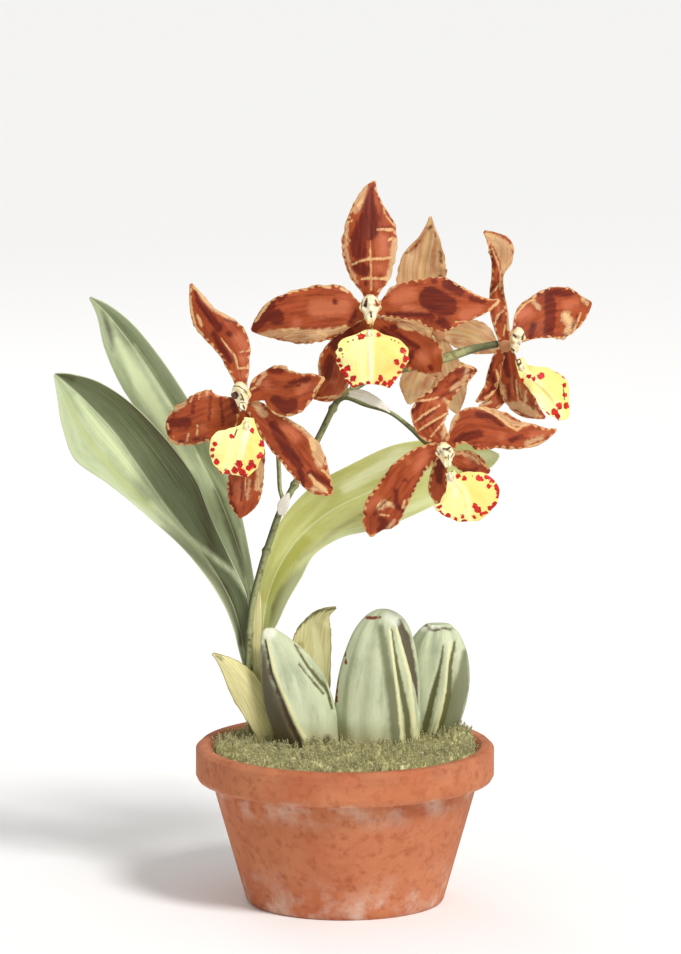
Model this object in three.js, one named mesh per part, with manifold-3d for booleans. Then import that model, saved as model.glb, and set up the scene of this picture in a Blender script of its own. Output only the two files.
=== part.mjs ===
// Odontoglossum insleayi in a plain terracotta orchid pan.
//
// Three old leafless pseudobulbs and one new growth stand on a rhizome in moss over bark compost. The new
// growth carries three folded leaves and one flower stem with five flowers: four face forward and one faces
// away.
//
// Millimetres, +Z up. The origin is the centre of the pot's foot, and -Y is the side that the plant is seen
// from.
//
// Leaves, sepals, petals, lips and sheaths are blades, drawn as stations along their midrib. Each station is
//   [across, rise, depth, left, right, leftBack, rightBack, sweep]
// across and rise: where the midrib is, rise measured from the moss, square to a sight line tilted down by
//   sightTilt
// depth: how far back it is, negative towards the viewer
// left, right: half widths to either side, looking along the midrib towards its tip
// leftBack, rightBack: how far each margin lies behind the midrib
// sweep: how far both margins run on ahead of the midrib

import * as THREE from 'three';
import { mergeVertices } from 'three/addons/utils/BufferGeometryUtils.js';
import Module from 'manifold-3d';

const wasm = await Module();
wasm.setup();

// Driving dimensions of the pot and its filling
const potHeight = 80;
const potFootRadius = 50;
const potRimRadius = 75;
const rimHeight = 18;
const rimProud = 3;
const potWall = 5;
const potFloor = 7;
const drainHoleRadius = 5;
const drainHoleCircle = 26;
const drainHoles = 3;
const footBevel = 1.5;
const rimShoulder = 3;
const rimRounding = 2;
const floorCove = 3;
const potSides = 40;
const holeSides = 16;
const compostTop = 60;
const compostSides = 30;
const gap = 0.3;

// The moss: its height at the rim and in the middle, and the level that the plant's rises are measured from
const mossAtRim = 77;
const mossCrown = 81.5;
const mossLevel = 80;
const mossBelowRim = 3;
const mossSides = 30;
const mossRingShares = [0.97, 0.8, 0.6, 0.4, 0.18];
const sightTilt = THREE.MathUtils.degToRad(10);

// Thicknesses, and the radii of round stalks
const leafThickness = 1.1;
const sheathThickness = 1;
const petalThickness = 0.8;
const lipThickness = 0.8;
const stemRadius = 1.6;
const stalkRadius = 1.2;
const ovaryRadius = 1.8;
const rhizomeRadius = 3.4;
const rootRadius = 1.3;

// Sides of the rings that make up round forms
const bulbSides = 24;
const youngBulbSides = 12;
const columnSides = 10;

// A point of the plant: its place across, its rise above the moss and its depth
function seen(across, rise, depth) {
  const up = (rise - depth * Math.sin(sightTilt)) / Math.cos(sightTilt);
  return new THREE.Vector3(across, depth, mossLevel + up);
}

function smooth(a, b, c, d, f) {
  return b + 0.5 * f * (c - a + f * (2 * a - 5 * b + 4 * c - d + f * (3 * (b - c) + d - a)));
}

// The values of a list of stations at t, from 0 at the first to 1 at the last
function between(stations, t) {
  const spans = stations.length - 1;
  const i = Math.min(Math.floor(t * spans), spans - 1);
  const before = stations[Math.max(i - 1, 0)];
  const after = stations[Math.min(i + 2, spans)];
  const next = stations[i + 1];
  return stations[i].map((value, k) => smooth(before[k], value, next[k], after[k], t * spans - i));
}

function closedGeometry(points, index) {
  const geometry = new THREE.BufferGeometry();
  const places = points.flatMap((p) => p.toArray());
  geometry.setAttribute('position', new THREE.Float32BufferAttribute(places, 3));
  geometry.setIndex(index);
  return geometry;
}

// Turns the faces round where they point inwards
function facingOut(geometry) {
  const p = geometry.attributes.position;
  const corner = [new THREE.Vector3(), new THREE.Vector3(), new THREE.Vector3()];
  const order = Array.from(geometry.index.array);
  let volume = 0;
  for (let i = 0; i < order.length; i += 3) {
    corner.forEach((c, k) => c.fromBufferAttribute(p, order[i + k]));
    volume += corner[0].dot(corner[1].clone().cross(corner[2]));
  }
  if (volume < 0) order.reverse();
  geometry.setIndex(order);
  return geometry;
}

function solidOf(geometry) {
  const bare = geometry.clone();
  bare.deleteAttribute('normal');
  bare.deleteAttribute('uv');
  const merged = mergeVertices(bare, 1e-4);
  const corners = Array.from(merged.index.array);
  const triVerts = [];
  for (let i = 0; i < corners.length; i += 3) {
    const [a, b, c] = corners.slice(i, i + 3);
    if (a !== b && b !== c && c !== a) triVerts.push(a, b, c);
  }
  const vertProperties = new Float32Array(merged.attributes.position.array);
  const mesh = new wasm.Mesh({ numProp: 3, vertProperties, triVerts: new Uint32Array(triVerts) });
  return new wasm.Manifold(mesh);
}

function geometryOf(solid) {
  const mesh = solid.getMesh();
  const geometry = new THREE.BufferGeometry();
  geometry.setAttribute('position', new THREE.BufferAttribute(new Float32Array(mesh.vertProperties), 3));
  geometry.setIndex(new THREE.BufferAttribute(new Uint32Array(mesh.triVerts), 1));
  return geometry;
}

// The largest body of a cut solid, without loose scraps
function mainBody(solid) {
  return solid.decompose().sort((a, b) => b.volume() - a.volume())[0];
}

function fused(geometries) {
  return geometryOf(mainBody(wasm.Manifold.union(geometries.map(solidOf))));
}

function cut(geometry, cutters) {
  return geometryOf(mainBody(solidOf(geometry).subtract(wasm.Manifold.union(cutters.map(solidOf)))));
}

// Blades: how far apart the points lie that give the midrib's and the surface's direction, as shares
const midribStep = 0.01;
const surfaceStep = 0.02;

// A point of the middle surface: t runs along the midrib, u from -1 at the left margin to 1 at the right one
function bladePoint(stations, form, t, u) {
  const ahead = between(stations, Math.min(t + midribStep, 1));
  const behind = between(stations, Math.max(t - midribStep, 0));
  const [across, rise, depth, left, right, leftBack, rightBack, sweep = 0] = between(stations, t);
  const along = new THREE.Vector2(ahead[0] - behind[0], ahead[1] - behind[1]).normalize();
  const reach = u * Math.max(u < 0 ? left : right, form.leastHalfWidth);
  const out = Math.abs(u);
  const shift = u < 0 ? 0 : form.waveShift;
  const wave = form.wave * out * out * Math.sin(2 * Math.PI * form.waves * t + shift);
  const fold = (u < 0 ? leftBack : rightBack) * Math.pow(out, form.fold);
  const run = sweep * out * out;
  return seen(
    across + along.y * reach + along.x * run,
    rise - along.x * reach + along.y * run,
    depth + fold + wave * Math.sin(Math.PI * t),
  );
}

// fold 1 makes a keeled blade and 2 a rounded one; wave, waves and waveShift ruffle its margins
const bladeForm = {
  fold: 2,
  wave: 0,
  waves: 3,
  waveShift: 1.6,
  leastHalfWidth: 0.4,
  rows: 10,
  columns: 4,
};
const sheathForm = { rows: 9, fold: 1.6 };
const leafForm = { rows: 16, fold: 1.2 };
const bractForm = { rows: 6 };
const tepalForm = { rows: 8, wave: 0.9, waves: 3.5 };
const lipForm = { rows: 8, wave: 1.1, waves: 3.5, columns: 6 };

function blade(stations, thickness, changes = {}) {
  const form = { ...bladeForm, ...changes };
  const front = [];
  const back = [];
  for (let i = 0; i <= form.rows; i += 1) {
    for (let j = 0; j <= form.columns; j += 1) {
      const t = i / form.rows;
      const u = (2 * j) / form.columns - 1;
      const along = bladePoint(stations, form, Math.min(t + surfaceStep, 1), u);
      along.sub(bladePoint(stations, form, Math.max(t - surfaceStep, 0), u));
      const over = bladePoint(stations, form, t, Math.min(u + surfaceStep, 1));
      over.sub(bladePoint(stations, form, t, Math.max(u - surfaceStep, -1)));
      const half = over.cross(along).normalize().multiplyScalar(thickness / 2);
      const middle = bladePoint(stations, form, t, u);
      front.push(middle.clone().add(half));
      back.push(middle.clone().sub(half));
    }
  }
  const row = form.columns + 1;
  const under = front.length;
  const index = [];
  for (let i = 0; i < form.rows; i += 1) {
    for (let j = 0; j < form.columns; j += 1) {
      const a = i * row + j;
      index.push(a, a + 1, a + row + 1, a, a + row + 1, a + row);
      const b = under + a;
      index.push(b, b + row + 1, b + 1, b, b + row, b + row + 1);
    }
  }
  const rim = [];
  for (let j = 0; j < form.columns; j += 1) rim.push(j);
  for (let i = 0; i < form.rows; i += 1) rim.push(i * row + form.columns);
  for (let j = form.columns; j > 0; j -= 1) rim.push(form.rows * row + j);
  for (let i = form.rows; i > 0; i -= 1) rim.push(i * row);
  rim.forEach((a, k) => {
    const b = rim[(k + 1) % rim.length];
    index.push(a, under + b, b, a, under + a, under + b);
  });
  return facingOut(closedGeometry([...front, ...back], index));
}

// Round stalks, and stacks of rings

function stalk(points, radius, steps, sides = 6) {
  const path = new THREE.CatmullRomCurve3(points.map((p) => seen(...p)));
  const section = new THREE.Shape();
  for (let i = 0; i < sides; i += 1) {
    const turn = (2 * Math.PI * i) / sides;
    const x = radius * Math.cos(turn);
    const y = radius * Math.sin(turn);
    if (i === 0) section.moveTo(x, y);
    else section.lineTo(x, y);
  }
  section.closePath();
  return new THREE.ExtrudeGeometry(section, { steps, extrudePath: path, bevelEnabled: false });
}

// Skins rings that all have the same number of points, and closes both ends on their centres
function skin(rings) {
  const sides = rings[0].length;
  const points = rings.flat();
  const index = [];
  for (let r = 0; r < rings.length - 1; r += 1) {
    for (let s = 0; s < sides; s += 1) {
      const a = r * sides + s;
      const b = r * sides + ((s + 1) % sides);
      index.push(a, b, b + sides, a, b + sides, a + sides);
    }
  }
  [0, rings.length - 1].forEach((r, end) => {
    const centre = rings[r].reduce((sum, p) => sum.add(p), new THREE.Vector3()).divideScalar(sides);
    points.push(centre);
    for (let s = 0; s < sides; s += 1) {
      const a = r * sides + s;
      const b = r * sides + ((s + 1) % sides);
      if (end === 0) index.push(b, a, points.length - 1);
      else index.push(a, b, points.length - 1);
    }
  });
  return facingOut(closedGeometry(points, index));
}

// Pot and filling

const potBodyTop = potHeight - rimHeight;
const potBodyRadius = potRimRadius - rimProud;

// The pot's inner radius at a height above its foot
function innerRadius(height) {
  const slope = (potBodyRadius - potFootRadius) / potHeight;
  return potFootRadius + slope * height - potWall;
}

function pot() {
  const profile = [
    [0, 0],
    [potFootRadius - footBevel, 0],
    [potFootRadius, footBevel],
    [innerRadius(potBodyTop) + potWall, potBodyTop],
    [potRimRadius - rimShoulder / 3, potBodyTop + rimShoulder / 3],
    [potRimRadius, potBodyTop + rimShoulder],
    [potRimRadius, potHeight - rimRounding],
    [potRimRadius - rimRounding, potHeight],
    [innerRadius(potHeight) + rimRounding, potHeight],
    [innerRadius(potHeight), potHeight - rimRounding],
    [innerRadius(potFloor + floorCove), potFloor + floorCove],
    [innerRadius(potFloor) - floorCove, potFloor],
    [0, potFloor],
  ].map(([x, y]) => new THREE.Vector2(x, y));
  const body = new THREE.LatheGeometry(profile, potSides).rotateX(Math.PI / 2);
  const holes = [];
  for (let i = 0; i < drainHoles; i += 1) {
    const turn = (2 * Math.PI * i) / drainHoles + Math.PI / 6;
    const hole = new THREE.CylinderGeometry(drainHoleRadius, drainHoleRadius, 3 * potFloor, holeSides);
    hole.rotateX(Math.PI / 2);
    hole.translate(drainHoleCircle * Math.cos(turn), drainHoleCircle * Math.sin(turn), potFloor / 2);
    holes.push(hole);
  }
  return cut(body, holes);
}

function compost() {
  const bottom = potFloor + gap;
  const profile = [
    [0, bottom],
    [innerRadius(potFloor) - floorCove - gap, bottom],
    [innerRadius(potFloor + floorCove) - gap, potFloor + floorCove + gap],
    [innerRadius(compostTop) - gap, compostTop],
    [0, compostTop],
  ].map(([x, y]) => new THREE.Vector2(x, y));
  return new THREE.LatheGeometry(profile, compostSides).rotateX(Math.PI / 2);
}

// Heaps of moss, higher behind the oldest pseudobulb: place, height, and the square of how wide each spreads
const mossHeaps = [
  { x: 57, y: 12, height: 7, spread: 90 },
  { x: -55, y: 0, height: 3, spread: 120 },
];

// A mound with low cushions and two heaps
function mossHeight(x, y) {
  const out = Math.hypot(x, y) / innerRadius(potHeight);
  const mound = mossCrown - (mossCrown - mossAtRim) * out * out;
  const cushions = 0.7 * Math.sin(x / 6 + 1) * Math.cos(y / 5) + 0.5 * Math.sin(x / 3.5 - y / 4);
  const heaps = mossHeaps.map(
    (heap) => heap.height * Math.exp(-((x - heap.x) ** 2 + (y - heap.y) ** 2) / heap.spread),
  );
  return mound + cushions + (heaps[0] + heaps[1]);
}

function moss() {
  const ring = (radius, height) => {
    const points = [];
    for (let s = 0; s < mossSides; s += 1) {
      const turn = (2 * Math.PI * s) / mossSides;
      const x = radius * Math.cos(turn);
      const y = radius * Math.sin(turn);
      points.push(new THREE.Vector3(x, y, height ?? mossHeight(x, y)));
    }
    return points;
  };
  const edge = mossAtRim - mossBelowRim;
  const rim = innerRadius(edge) - gap;
  const rings = [ring(innerRadius(compostTop) - gap, compostTop + gap), ring(rim, edge)];
  mossRingShares.forEach((share) => rings.push(ring(rim * share)));
  return skin(rings);
}

// Pseudobulbs: levels are [rise, centre across, half width], bottom first. One sharp edge, this many degrees
// wide, turns as the bulb rises.
const edgeSpread = 22;
const bulbs = [
  {
    depth: -7,
    flatness: 0.62,
    levels: [
      [-8, -17, 7], [-5, -17.3, 10.5], [0, -18, 14.5], [8, -20.6, 16.6], [17, -22.5, 17.8], [27, -24.6, 17.2],
      [36, -27, 15.6], [45, -30.5, 12.2], [52, -34, 8], [57, -37, 4], [58.5, -37.6, 1.6],
    ],
    edge: { from: 98, turnPerMm: 0.8, height: 0.16 },
    ribs: { height: 0.015, count: 7 },
  },
  {
    depth: 1,
    flatness: 0.68,
    levels: [
      [-8, 15.5, 9], [-5, 15.5, 14.5], [0, 16.2, 20], [8, 16, 21.2], [16, 15.9, 21.4], [27, 16.4, 20.8],
      [37, 17, 19.6], [47, 17.8, 17.4], [56, 18.6, 14.4], [62.5, 19.2, 10.5], [66, 19.3, 6.5], [67.6, 19.2, 3],
    ],
    edge: { from: 60, turnPerMm: 0.25, height: 0.07 },
    ribs: { height: 0.035, count: 11 },
  },
  {
    depth: 17,
    flatness: 0.62,
    levels: [
      [-8, 41, 6.5], [-4, 41.4, 9], [2, 42.5, 11.5], [10, 44, 13.6], [20, 45.2, 15.6], [32, 46, 16.4],
      [43, 46, 15.6], [51, 46.2, 13], [56.5, 46.6, 9.6], [60, 46.8, 6],
    ],
    edge: { from: 75, turnPerMm: 0.3, height: 0.06 },
    ribs: { height: 0.04, count: 9 },
  },
];
const youngBulb = {
  depth: 10.5,
  flatness: 0.85,
  levels: [
    [-8, -39, 3.5], [-5, -39.5, 5], [3, -41, 6.2], [15, -44.5, 6.3], [27, -47.5, 5], [35, -49, 2.8],
    [38, -49.3, 1],
  ],
  edge: { from: 90, turnPerMm: 0, height: 0.05 },
  ribs: { height: 0, count: 5 },
};

function bulb({ depth, flatness, levels, edge, ribs }, sides = bulbSides, clearance = 0) {
  const rings = levels.map(([rise, across, halfWidth]) => {
    const points = [];
    for (let s = 0; s < sides; s += 1) {
      const turn = (360 * s) / sides;
      const off = ((turn - edge.from - edge.turnPerMm * rise + 540) % 360) - 180;
      const sharp = edge.height * Math.exp(-((off / edgeSpread) ** 2));
      const rib = ribs.height * Math.cos(THREE.MathUtils.degToRad(turn * ribs.count));
      const reach = halfWidth * (1 + sharp + rib) + clearance;
      const angle = THREE.MathUtils.degToRad(turn);
      points.push(seen(across + reach * Math.cos(angle), rise, depth).add(
        new THREE.Vector3(0, -reach * flatness * Math.sin(angle), 0),
      ));
    }
    return points;
  });
  return skin(rings);
}

// The rhizome runs under all four growths, and its roots go down into the compost
const rhizomePath = [
  [-56, -13.5, 9], [-40, -14.2, 9.5], [-17, -14.4, -1], [0, -14.4, -1], [16, -14.4, 2], [41, -14.4, 14],
  [52, -13.8, 17],
];
const roots = [
  [[-38, -14, 9], [-44, -30, 8], [-43, -48, 4]],
  [[-24, -14, 3], [-22, -32, -8], [-27, -54, -16]],
  [[-10, -14, -1], [-9, -30, 6], [-14, -50, 16]],
  [[8, -14, 0], [10, -34, -8], [4, -58, -20]],
  [[24, -14, 6], [27, -32, 14], [24, -52, 26]],
  [[42, -14, 14], [44, -30, 6], [38, -50, -4]],
];

function rhizome(clearance = 0) {
  const main = stalk(rhizomePath, rhizomeRadius + clearance, 10, 8);
  return [main, ...roots.map((points) => stalk(points, rootRadius + clearance, 4, 5))];
}

// Sheaths and leaves of the new growth, and one old sheath
const sheaths = {
  sheath_outer: [
    [-37.5, -5, -1, 4, 3.5, 0, 1],
    [-40.5, 6, -3, 5, 5, 0, 2],
    [-45, 16.5, -4, 6.5, 7, 0, 4],
    [-51, 27.5, -4.5, 7, 9.5, 0, 5],
    [-57.5, 37, -5, 4.5, 6.5, 0, 3],
    [-63, 43, -5.5, 2, 2.5, 0, 0],
    [-66.5, 45.5, -6, 0.7, 0.7, 0, 0],
  ],
  sheath_inner: [
    [-43.5, 40, 5, 2.5, 2.5, 0, 0],
    [-44, 50, 5, 2.8, 2.8, 0, 0],
    [-44, 62, 5, 2.6, 2.6, 0, 0],
    [-43.8, 74, 5, 2, 2, 0, 0],
    [-43.5, 85, 4.5, 0.7, 0.7, 0, 0],
  ],
  sheath_old: [
    [-17.5, -5, 9, 7, 6, -1, -1],
    [-16.8, 18, 9.5, 10, 8.3, -2, -1],
    [-15.3, 38, 10, 11.5, 8.3, -3, -2],
    [-14.2, 53, 10, 11.5, 7.3, -3, -2],
    [-13, 61, 9.5, 7, 6, -2, -1],
    [-10, 66, 9, 2.6, 3.4, 0, 0],
    [-4.5, 68.5, 8, 0.7, 0.7, 0, 0],
  ],
};
const leaves = {
  leaf_1: [
    [-51, 47, 7, 2, 2.5, -1, -1],
    [-53, 58, 6.5, 3, 5, -3, -2],
    [-57, 71, 6.5, 4, 8.5, -4, -4],
    [-65, 86, 7, 5, 10, -5, -6],
    [-77, 103, 7.5, 6.5, 14, -6, -8],
    [-90, 119.5, 6.5, 10, 20, -9, -8],
    [-103, 138.5, 4, 16.5, 20, -13, -6],
    [-116, 157, -2, 23.5, 17, -15, -6],
    [-129, 171.5, -12, 16.5, 12.5, -10, -5],
    [-138.5, 180.5, -20, 7, 6, -4, -2],
    [-144, 185, -25, 0.8, 0.8, 0, 0],
  ],
  leaf_2: [
    [-47.5, 48, 11, 2, 2, -1, -1],
    [-48, 72, 12.5, 4, 3.5, -2, -1],
    [-52, 93, 16, 7, 4.5, -4, -2],
    [-61.5, 120, 21, 11, 8, -7, -4],
    [-73.5, 145, 27, 14, 10, -8, -6],
    [-86.5, 169.5, 33, 16, 8.5, -8, -6],
    [-99, 189, 38, 16.5, 8, -8, -5],
    [-111.5, 206, 42, 12, 7, -6, -4],
    [-121, 217.5, 45, 5, 4, -2, -2],
    [-128.5, 224.5, 47, 0.7, 0.7, 0, 0],
  ],
  leaf_3: [
    [-42, 50, 13, 2, 2, -1, -1],
    [-41, 62, 13.5, 3, 3, -1, -1],
    [-38.5, 75, 15, 5, 4.5, -2, -2],
    [-33, 89, 17, 8.5, 8, -3, -4],
    [-23.5, 103, 20, 12.5, 10, -4, -6],
    [-8.5, 116, 24, 15.5, 14.5, -5, -9],
    [10, 125.5, 27, 16.5, 19, -5, -11],
    [30, 133, 28, 18, 18.5, -5, -10],
    [48, 139, 27, 14.5, 15.5, -4, -7],
    [63, 142.5, 24, 8.5, 9.5, -2, -4],
    [73, 144, 20, 4, 5, 0, -1],
    [77.5, 144.8, 17, 0.8, 0.8, 0, 0],
  ],
};

// Flower stem: the main stalk ends behind the third flower, and the other stalks branch from it
const mainStalk = [
  [-44, -7, 1.5], [-47, 10, 1.5], [-49, 30, 1.5], [-48.5, 47, 0.8], [-47, 67.5, 0], [-41.5, 90, -0.5],
  [-37.5, 102.5, -1], [-32.5, 116.5, -1.5], [-22.5, 135, -1], [-12.5, 155, 0], [-2.5, 173.5, 0], [3.5, 177.5, 1],
  [15, 184, 4], [32.5, 188.5, 5],
];
const stemSteps = 26;
const sideStalks = [
  [[3, 177, 1], [8, 188, 0], [11, 201, -6], [12.3, 214, -15.4]],
  [
    [-33, 115, -1.5], [-31, 121, -3], [-32.5, 128, -4.5], [-33, 138, -8], [-34, 149, -13], [-39, 161, -19],
    [-48.5, 170.5, -25.6],
  ],
  [
    [-5, 171, 0], [0, 173.5, -4], [10, 170, -10], [22.5, 166, -17], [33, 158, -24], [41, 151, -30],
    [47, 148, -33.6],
  ],
  [[31, 188, 5], [38, 195, 12], [44, 204, 25.6]],
];
const thirdOvary = [[31, 188, 5], [50, 193.5, 8], [64, 198, 8], [76.5, 200.5, 5.5]];

function flowerStem() {
  return fused([
    stalk(mainStalk, stemRadius, stemSteps),
    ...sideStalks.map((points) => stalk(points, stalkRadius, points.length + 3)),
    stalk(thirdOvary, ovaryRadius, 6),
  ]);
}

const bracts = {
  bract_lower: [
    [-32, 115, -6, 1.5, 1.5, 0, 0],
    [-31, 119, -6.7, 3, 2.5, 0.5, 0.5],
    [-29.5, 122.5, -6.9, 2.5, 2, 0.5, 0.5],
    [-28, 126, -6.5, 0.6, 0.6, 0, 0],
  ],
  bract_upper: [
    [2, 175.5, -9, 1.5, 1.5, 0, 0],
    [8, 175, -13, 2.5, 3, 0.5, 0.5],
    [15, 172, -17, 2, 3, 0.5, 0.5],
    [20, 168.5, -20, 1, 1.5, 0, 0],
    [22.5, 166, -21.5, 0.5, 0.5, 0, 0],
  ],
};

// Flowers: depth is where the flower's heart lies, and its blades' depths are measured from there. lean is how
// far the sepals and petals go back per millimetre to the right, and bow how far their tips bend back, in
// millimetres at bowReach from the heart. The column runs from its foot to its head, both [across, rise, depth].
const bowReach = 60;
const flowers = [
  {
    heart: [12.5, 216.5],
    depth: -20,
    lean: 0.05,
    bow: 9,
    tepals: [
      [
        [12.5, 214, 0, 2.5, 2.5, 0, 0],
        [12.5, 224, -0.5, 3.5, 4, 0.5, 0.5],
        [12.5, 232, -1.5, 9.5, 9.5, 1, 1],
        [12.5, 241.5, -2, 13, 12.2, 2, 2],
        [12.5, 250, -1, 14, 13.5, 2.5, 2.5],
        [12.5, 259, 0.5, 12.3, 12.3, 2.5, 2],
        [12.6, 268, 2, 9.2, 7, 1, 1.5],
        [13.2, 275.5, 4, 5, 3, 0.5, 0.5],
        [14.8, 281, 6, 0.7, 0.6, 0, 0],
      ],
      [
        [12, 216, 0.5, 2.5, 2.5, 0, 0],
        [6, 216, 0, 6, 5.5, 0.5, 0.5],
        [-1, 216.5, -1.5, 11.5, 11.5, 2, 1],
        [-11, 216.5, -3, 15, 12.5, 4, 1],
        [-22.5, 215.5, -4, 15.5, 11.5, 5, 1.5],
        [-34, 212.5, -4.5, 12, 9.5, 4, 2],
        [-42, 209, -4, 6, 5, 2, 1],
        [-46.5, 206.8, -3.5, 0.8, 0.8, 0, 0],
      ],
      [
        [13, 216, 0.5, 2.5, 2.5, 0, 0],
        [19, 217, 0, 5, 3.5, 0, 0],
        [26, 218.5, -1, 10.5, 6.5, 1, 1],
        [36, 220.3, -2, 11.5, 9.5, 1.5, 1],
        [47.5, 220.2, -2.5, 13.3, 14.5, 2, 1],
        [57, 220, -1.5, 9, 11, 2, 1],
        [66, 219.6, 0, 4.8, 6, 1, 0.5],
        [73, 220.3, 2, 2.4, 2.8, 0, 0],
        [77, 222.2, 3, 0.7, 0.7, 0, 0],
      ],
      [
        [11.5, 213, 1.5, 2.5, 2.5, 0, 0],
        [6, 206, 2, 6, 5, 0, 0],
        [0, 199.5, 3, 9, 7, 1, 1],
        [-5, 191, 4, 9, 8.3, 1.5, 1.5],
        [-7, 183, 5, 9.5, 6.5, 1, 2],
        [-10.5, 177, 5.5, 7, 4.5, 0.5, 1],
        [-16, 173.2, 6, 0.7, 0.7, 0, 0],
      ],
      [
        [13.5, 213, 1.5, 2.5, 2.5, 0, 0],
        [19, 208.5, 2, 5, 5, 0, 0],
        [26, 204.5, 3, 8, 9, -1, 1],
        [34, 199, 4, 9.7, 11.5, -1.5, 1.5],
        [41, 193, 5, 9, 9, -1, 1.5],
        [45.5, 187, 6, 3.5, 4.5, 0, 0.5],
        [46.5, 183, 6.5, 0.7, 0.7, 0, 0],
      ],
    ],
    lip: [
      [12.5, 207, -4, 2.6, 2.6, 0, 0, 0],
      [12.5, 204.7, -5.2, 6.5, 7, 0.5, 0.5, 0],
      [12.5, 202, -6.7, 14.5, 14.3, 1, 1, 0],
      [12.5, 197.5, -8, 18.3, 16.5, 2, 2, 0],
      [12.5, 192.5, -8.5, 19, 17, 2.5, 2.5, 0],
      [12.5, 187.5, -8, 16.7, 15.2, 2.5, 2.5, 0],
      [12.5, 183, -7, 12.7, 12.2, 2, 2, 0.5],
      [12.5, 180, -6, 9.3, 9, 1, 1, 2],
    ],
    column: { foot: [12.5, 210.5, -5.5], head: [12.5, 223.8, -8], halfWidth: 5.7, turned: 0 },
  },
  {
    heart: [-50.5, 172.5],
    depth: -30,
    lean: -0.18,
    bow: 8,
    tepals: [
      [
        [-50.5, 171, 0, 2.5, 2.5, 0, 0],
        [-51.5, 180, 0, 3.2, 3.2, 0, 0],
        [-53, 188, 1, 5.3, 6, 0, 1],
        [-57, 197, 2.5, 6, 11, 0, 2],
        [-62.5, 205, 4, 7, 11, 1, 2],
        [-68.5, 213.5, 5, 8, 6, 1.5, 1],
        [-73.3, 221.5, 5, 4.3, 4.3, 0.5, 0.5],
        [-76.5, 230, 4, 0.7, 0.7, 0, 0],
      ],
      [
        [-51.5, 172, 0.5, 2.5, 2.5, 0, 0],
        [-56, 169.5, 0, 6, 5, 0, 0],
        [-62, 166, -1, 12, 11.5, 1, 0],
        [-69, 164.5, -2, 13, 12, 1.5, 0],
        [-77, 161.3, -2.5, 11.8, 10.5, 2, 0],
        [-83.5, 159.8, -2.5, 10, 9.5, 1, 1],
        [-87, 160, -2, 6.5, 6.5, 0, 0],
        [-89, 160.2, -1.5, 1.5, 1.5, 0, 0],
      ],
      [
        [-50.5, 172.5, 0.5, 2.5, 2.5, 0, 0],
        [-46, 174, -0.5, 3.5, 3.2, 0, 0],
        [-41, 177, -1.5, 8, 6.5, 0, 0],
        [-34.5, 177.3, -3, 12, 12, 1, 1],
        [-27.5, 176.7, -4, 11, 13, 1, 1.5],
        [-20.5, 178.5, -5, 7.5, 8.5, 0.5, 1],
        [-15, 181, -5.5, 4.5, 4.5, 0, 0],
        [-10, 182.8, -6, 0.7, 0.7, 0, 0],
      ],
      [
        [-50.5, 170, 2, 2.5, 2.5, 0, 0],
        [-49, 160, 3, 6.5, 5, 0, 0],
        [-49.5, 149, 4, 9.5, 7, 1, 1],
        [-49.3, 138, 4.5, 9.3, 8.5, 1.5, 1],
        [-49.5, 127.5, 4.5, 8.3, 9.3, 1, 1],
        [-51, 119.5, 4, 6, 7, 0, 0.5],
        [-52.5, 113.5, 3, 0.8, 0.8, 0, 0],
      ],
      [
        [-50, 170.5, 1.5, 2.5, 2.5, 0, 0],
        [-44, 167, 1.5, 5, 4.5, 0, 0],
        [-37.5, 160, 1, 7.3, 6.7, 0, 0],
        [-28.5, 151.3, 0, 10.5, 9, 1, 1],
        [-21, 142.5, -1, 11.3, 9, 1.5, 1],
        [-14.5, 133.8, -1.5, 8, 8, 1, 1],
        [-9.5, 128.5, -1.5, 4.5, 5, 0, 0],
        [-6, 125.5, -1.5, 0.8, 0.8, 0, 0],
      ],
    ],
    lip: [
      [-48, 163.5, -4, 2.5, 2.5, 0, 0, 0],
      [-48.5, 159, -5.5, 5, 3.5, 0, 0, 0],
      [-50, 154.5, -7, 10.5, 9, 1, 1, 0],
      [-51.5, 150.5, -8, 12.3, 14, 1.5, 1.5, 0],
      [-52.7, 146, -8.3, 12, 14.7, 2, 2, 0],
      [-53.5, 140.7, -8, 10.5, 12.5, 1.5, 1.5, 0],
      [-54, 137, -7, 8, 9.5, 1, 1, 0],
      [-54.3, 135, -6, 6, 7, 0, 0, 0.5],
    ],
    column: { foot: [-50.5, 167.3, -5.5], head: [-52, 180.7, -8], halfWidth: 5.2, turned: 0 },
  },
  {
    heart: [80, 199.5],
    depth: 2,
    lean: 0.75,
    bow: 7,
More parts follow.
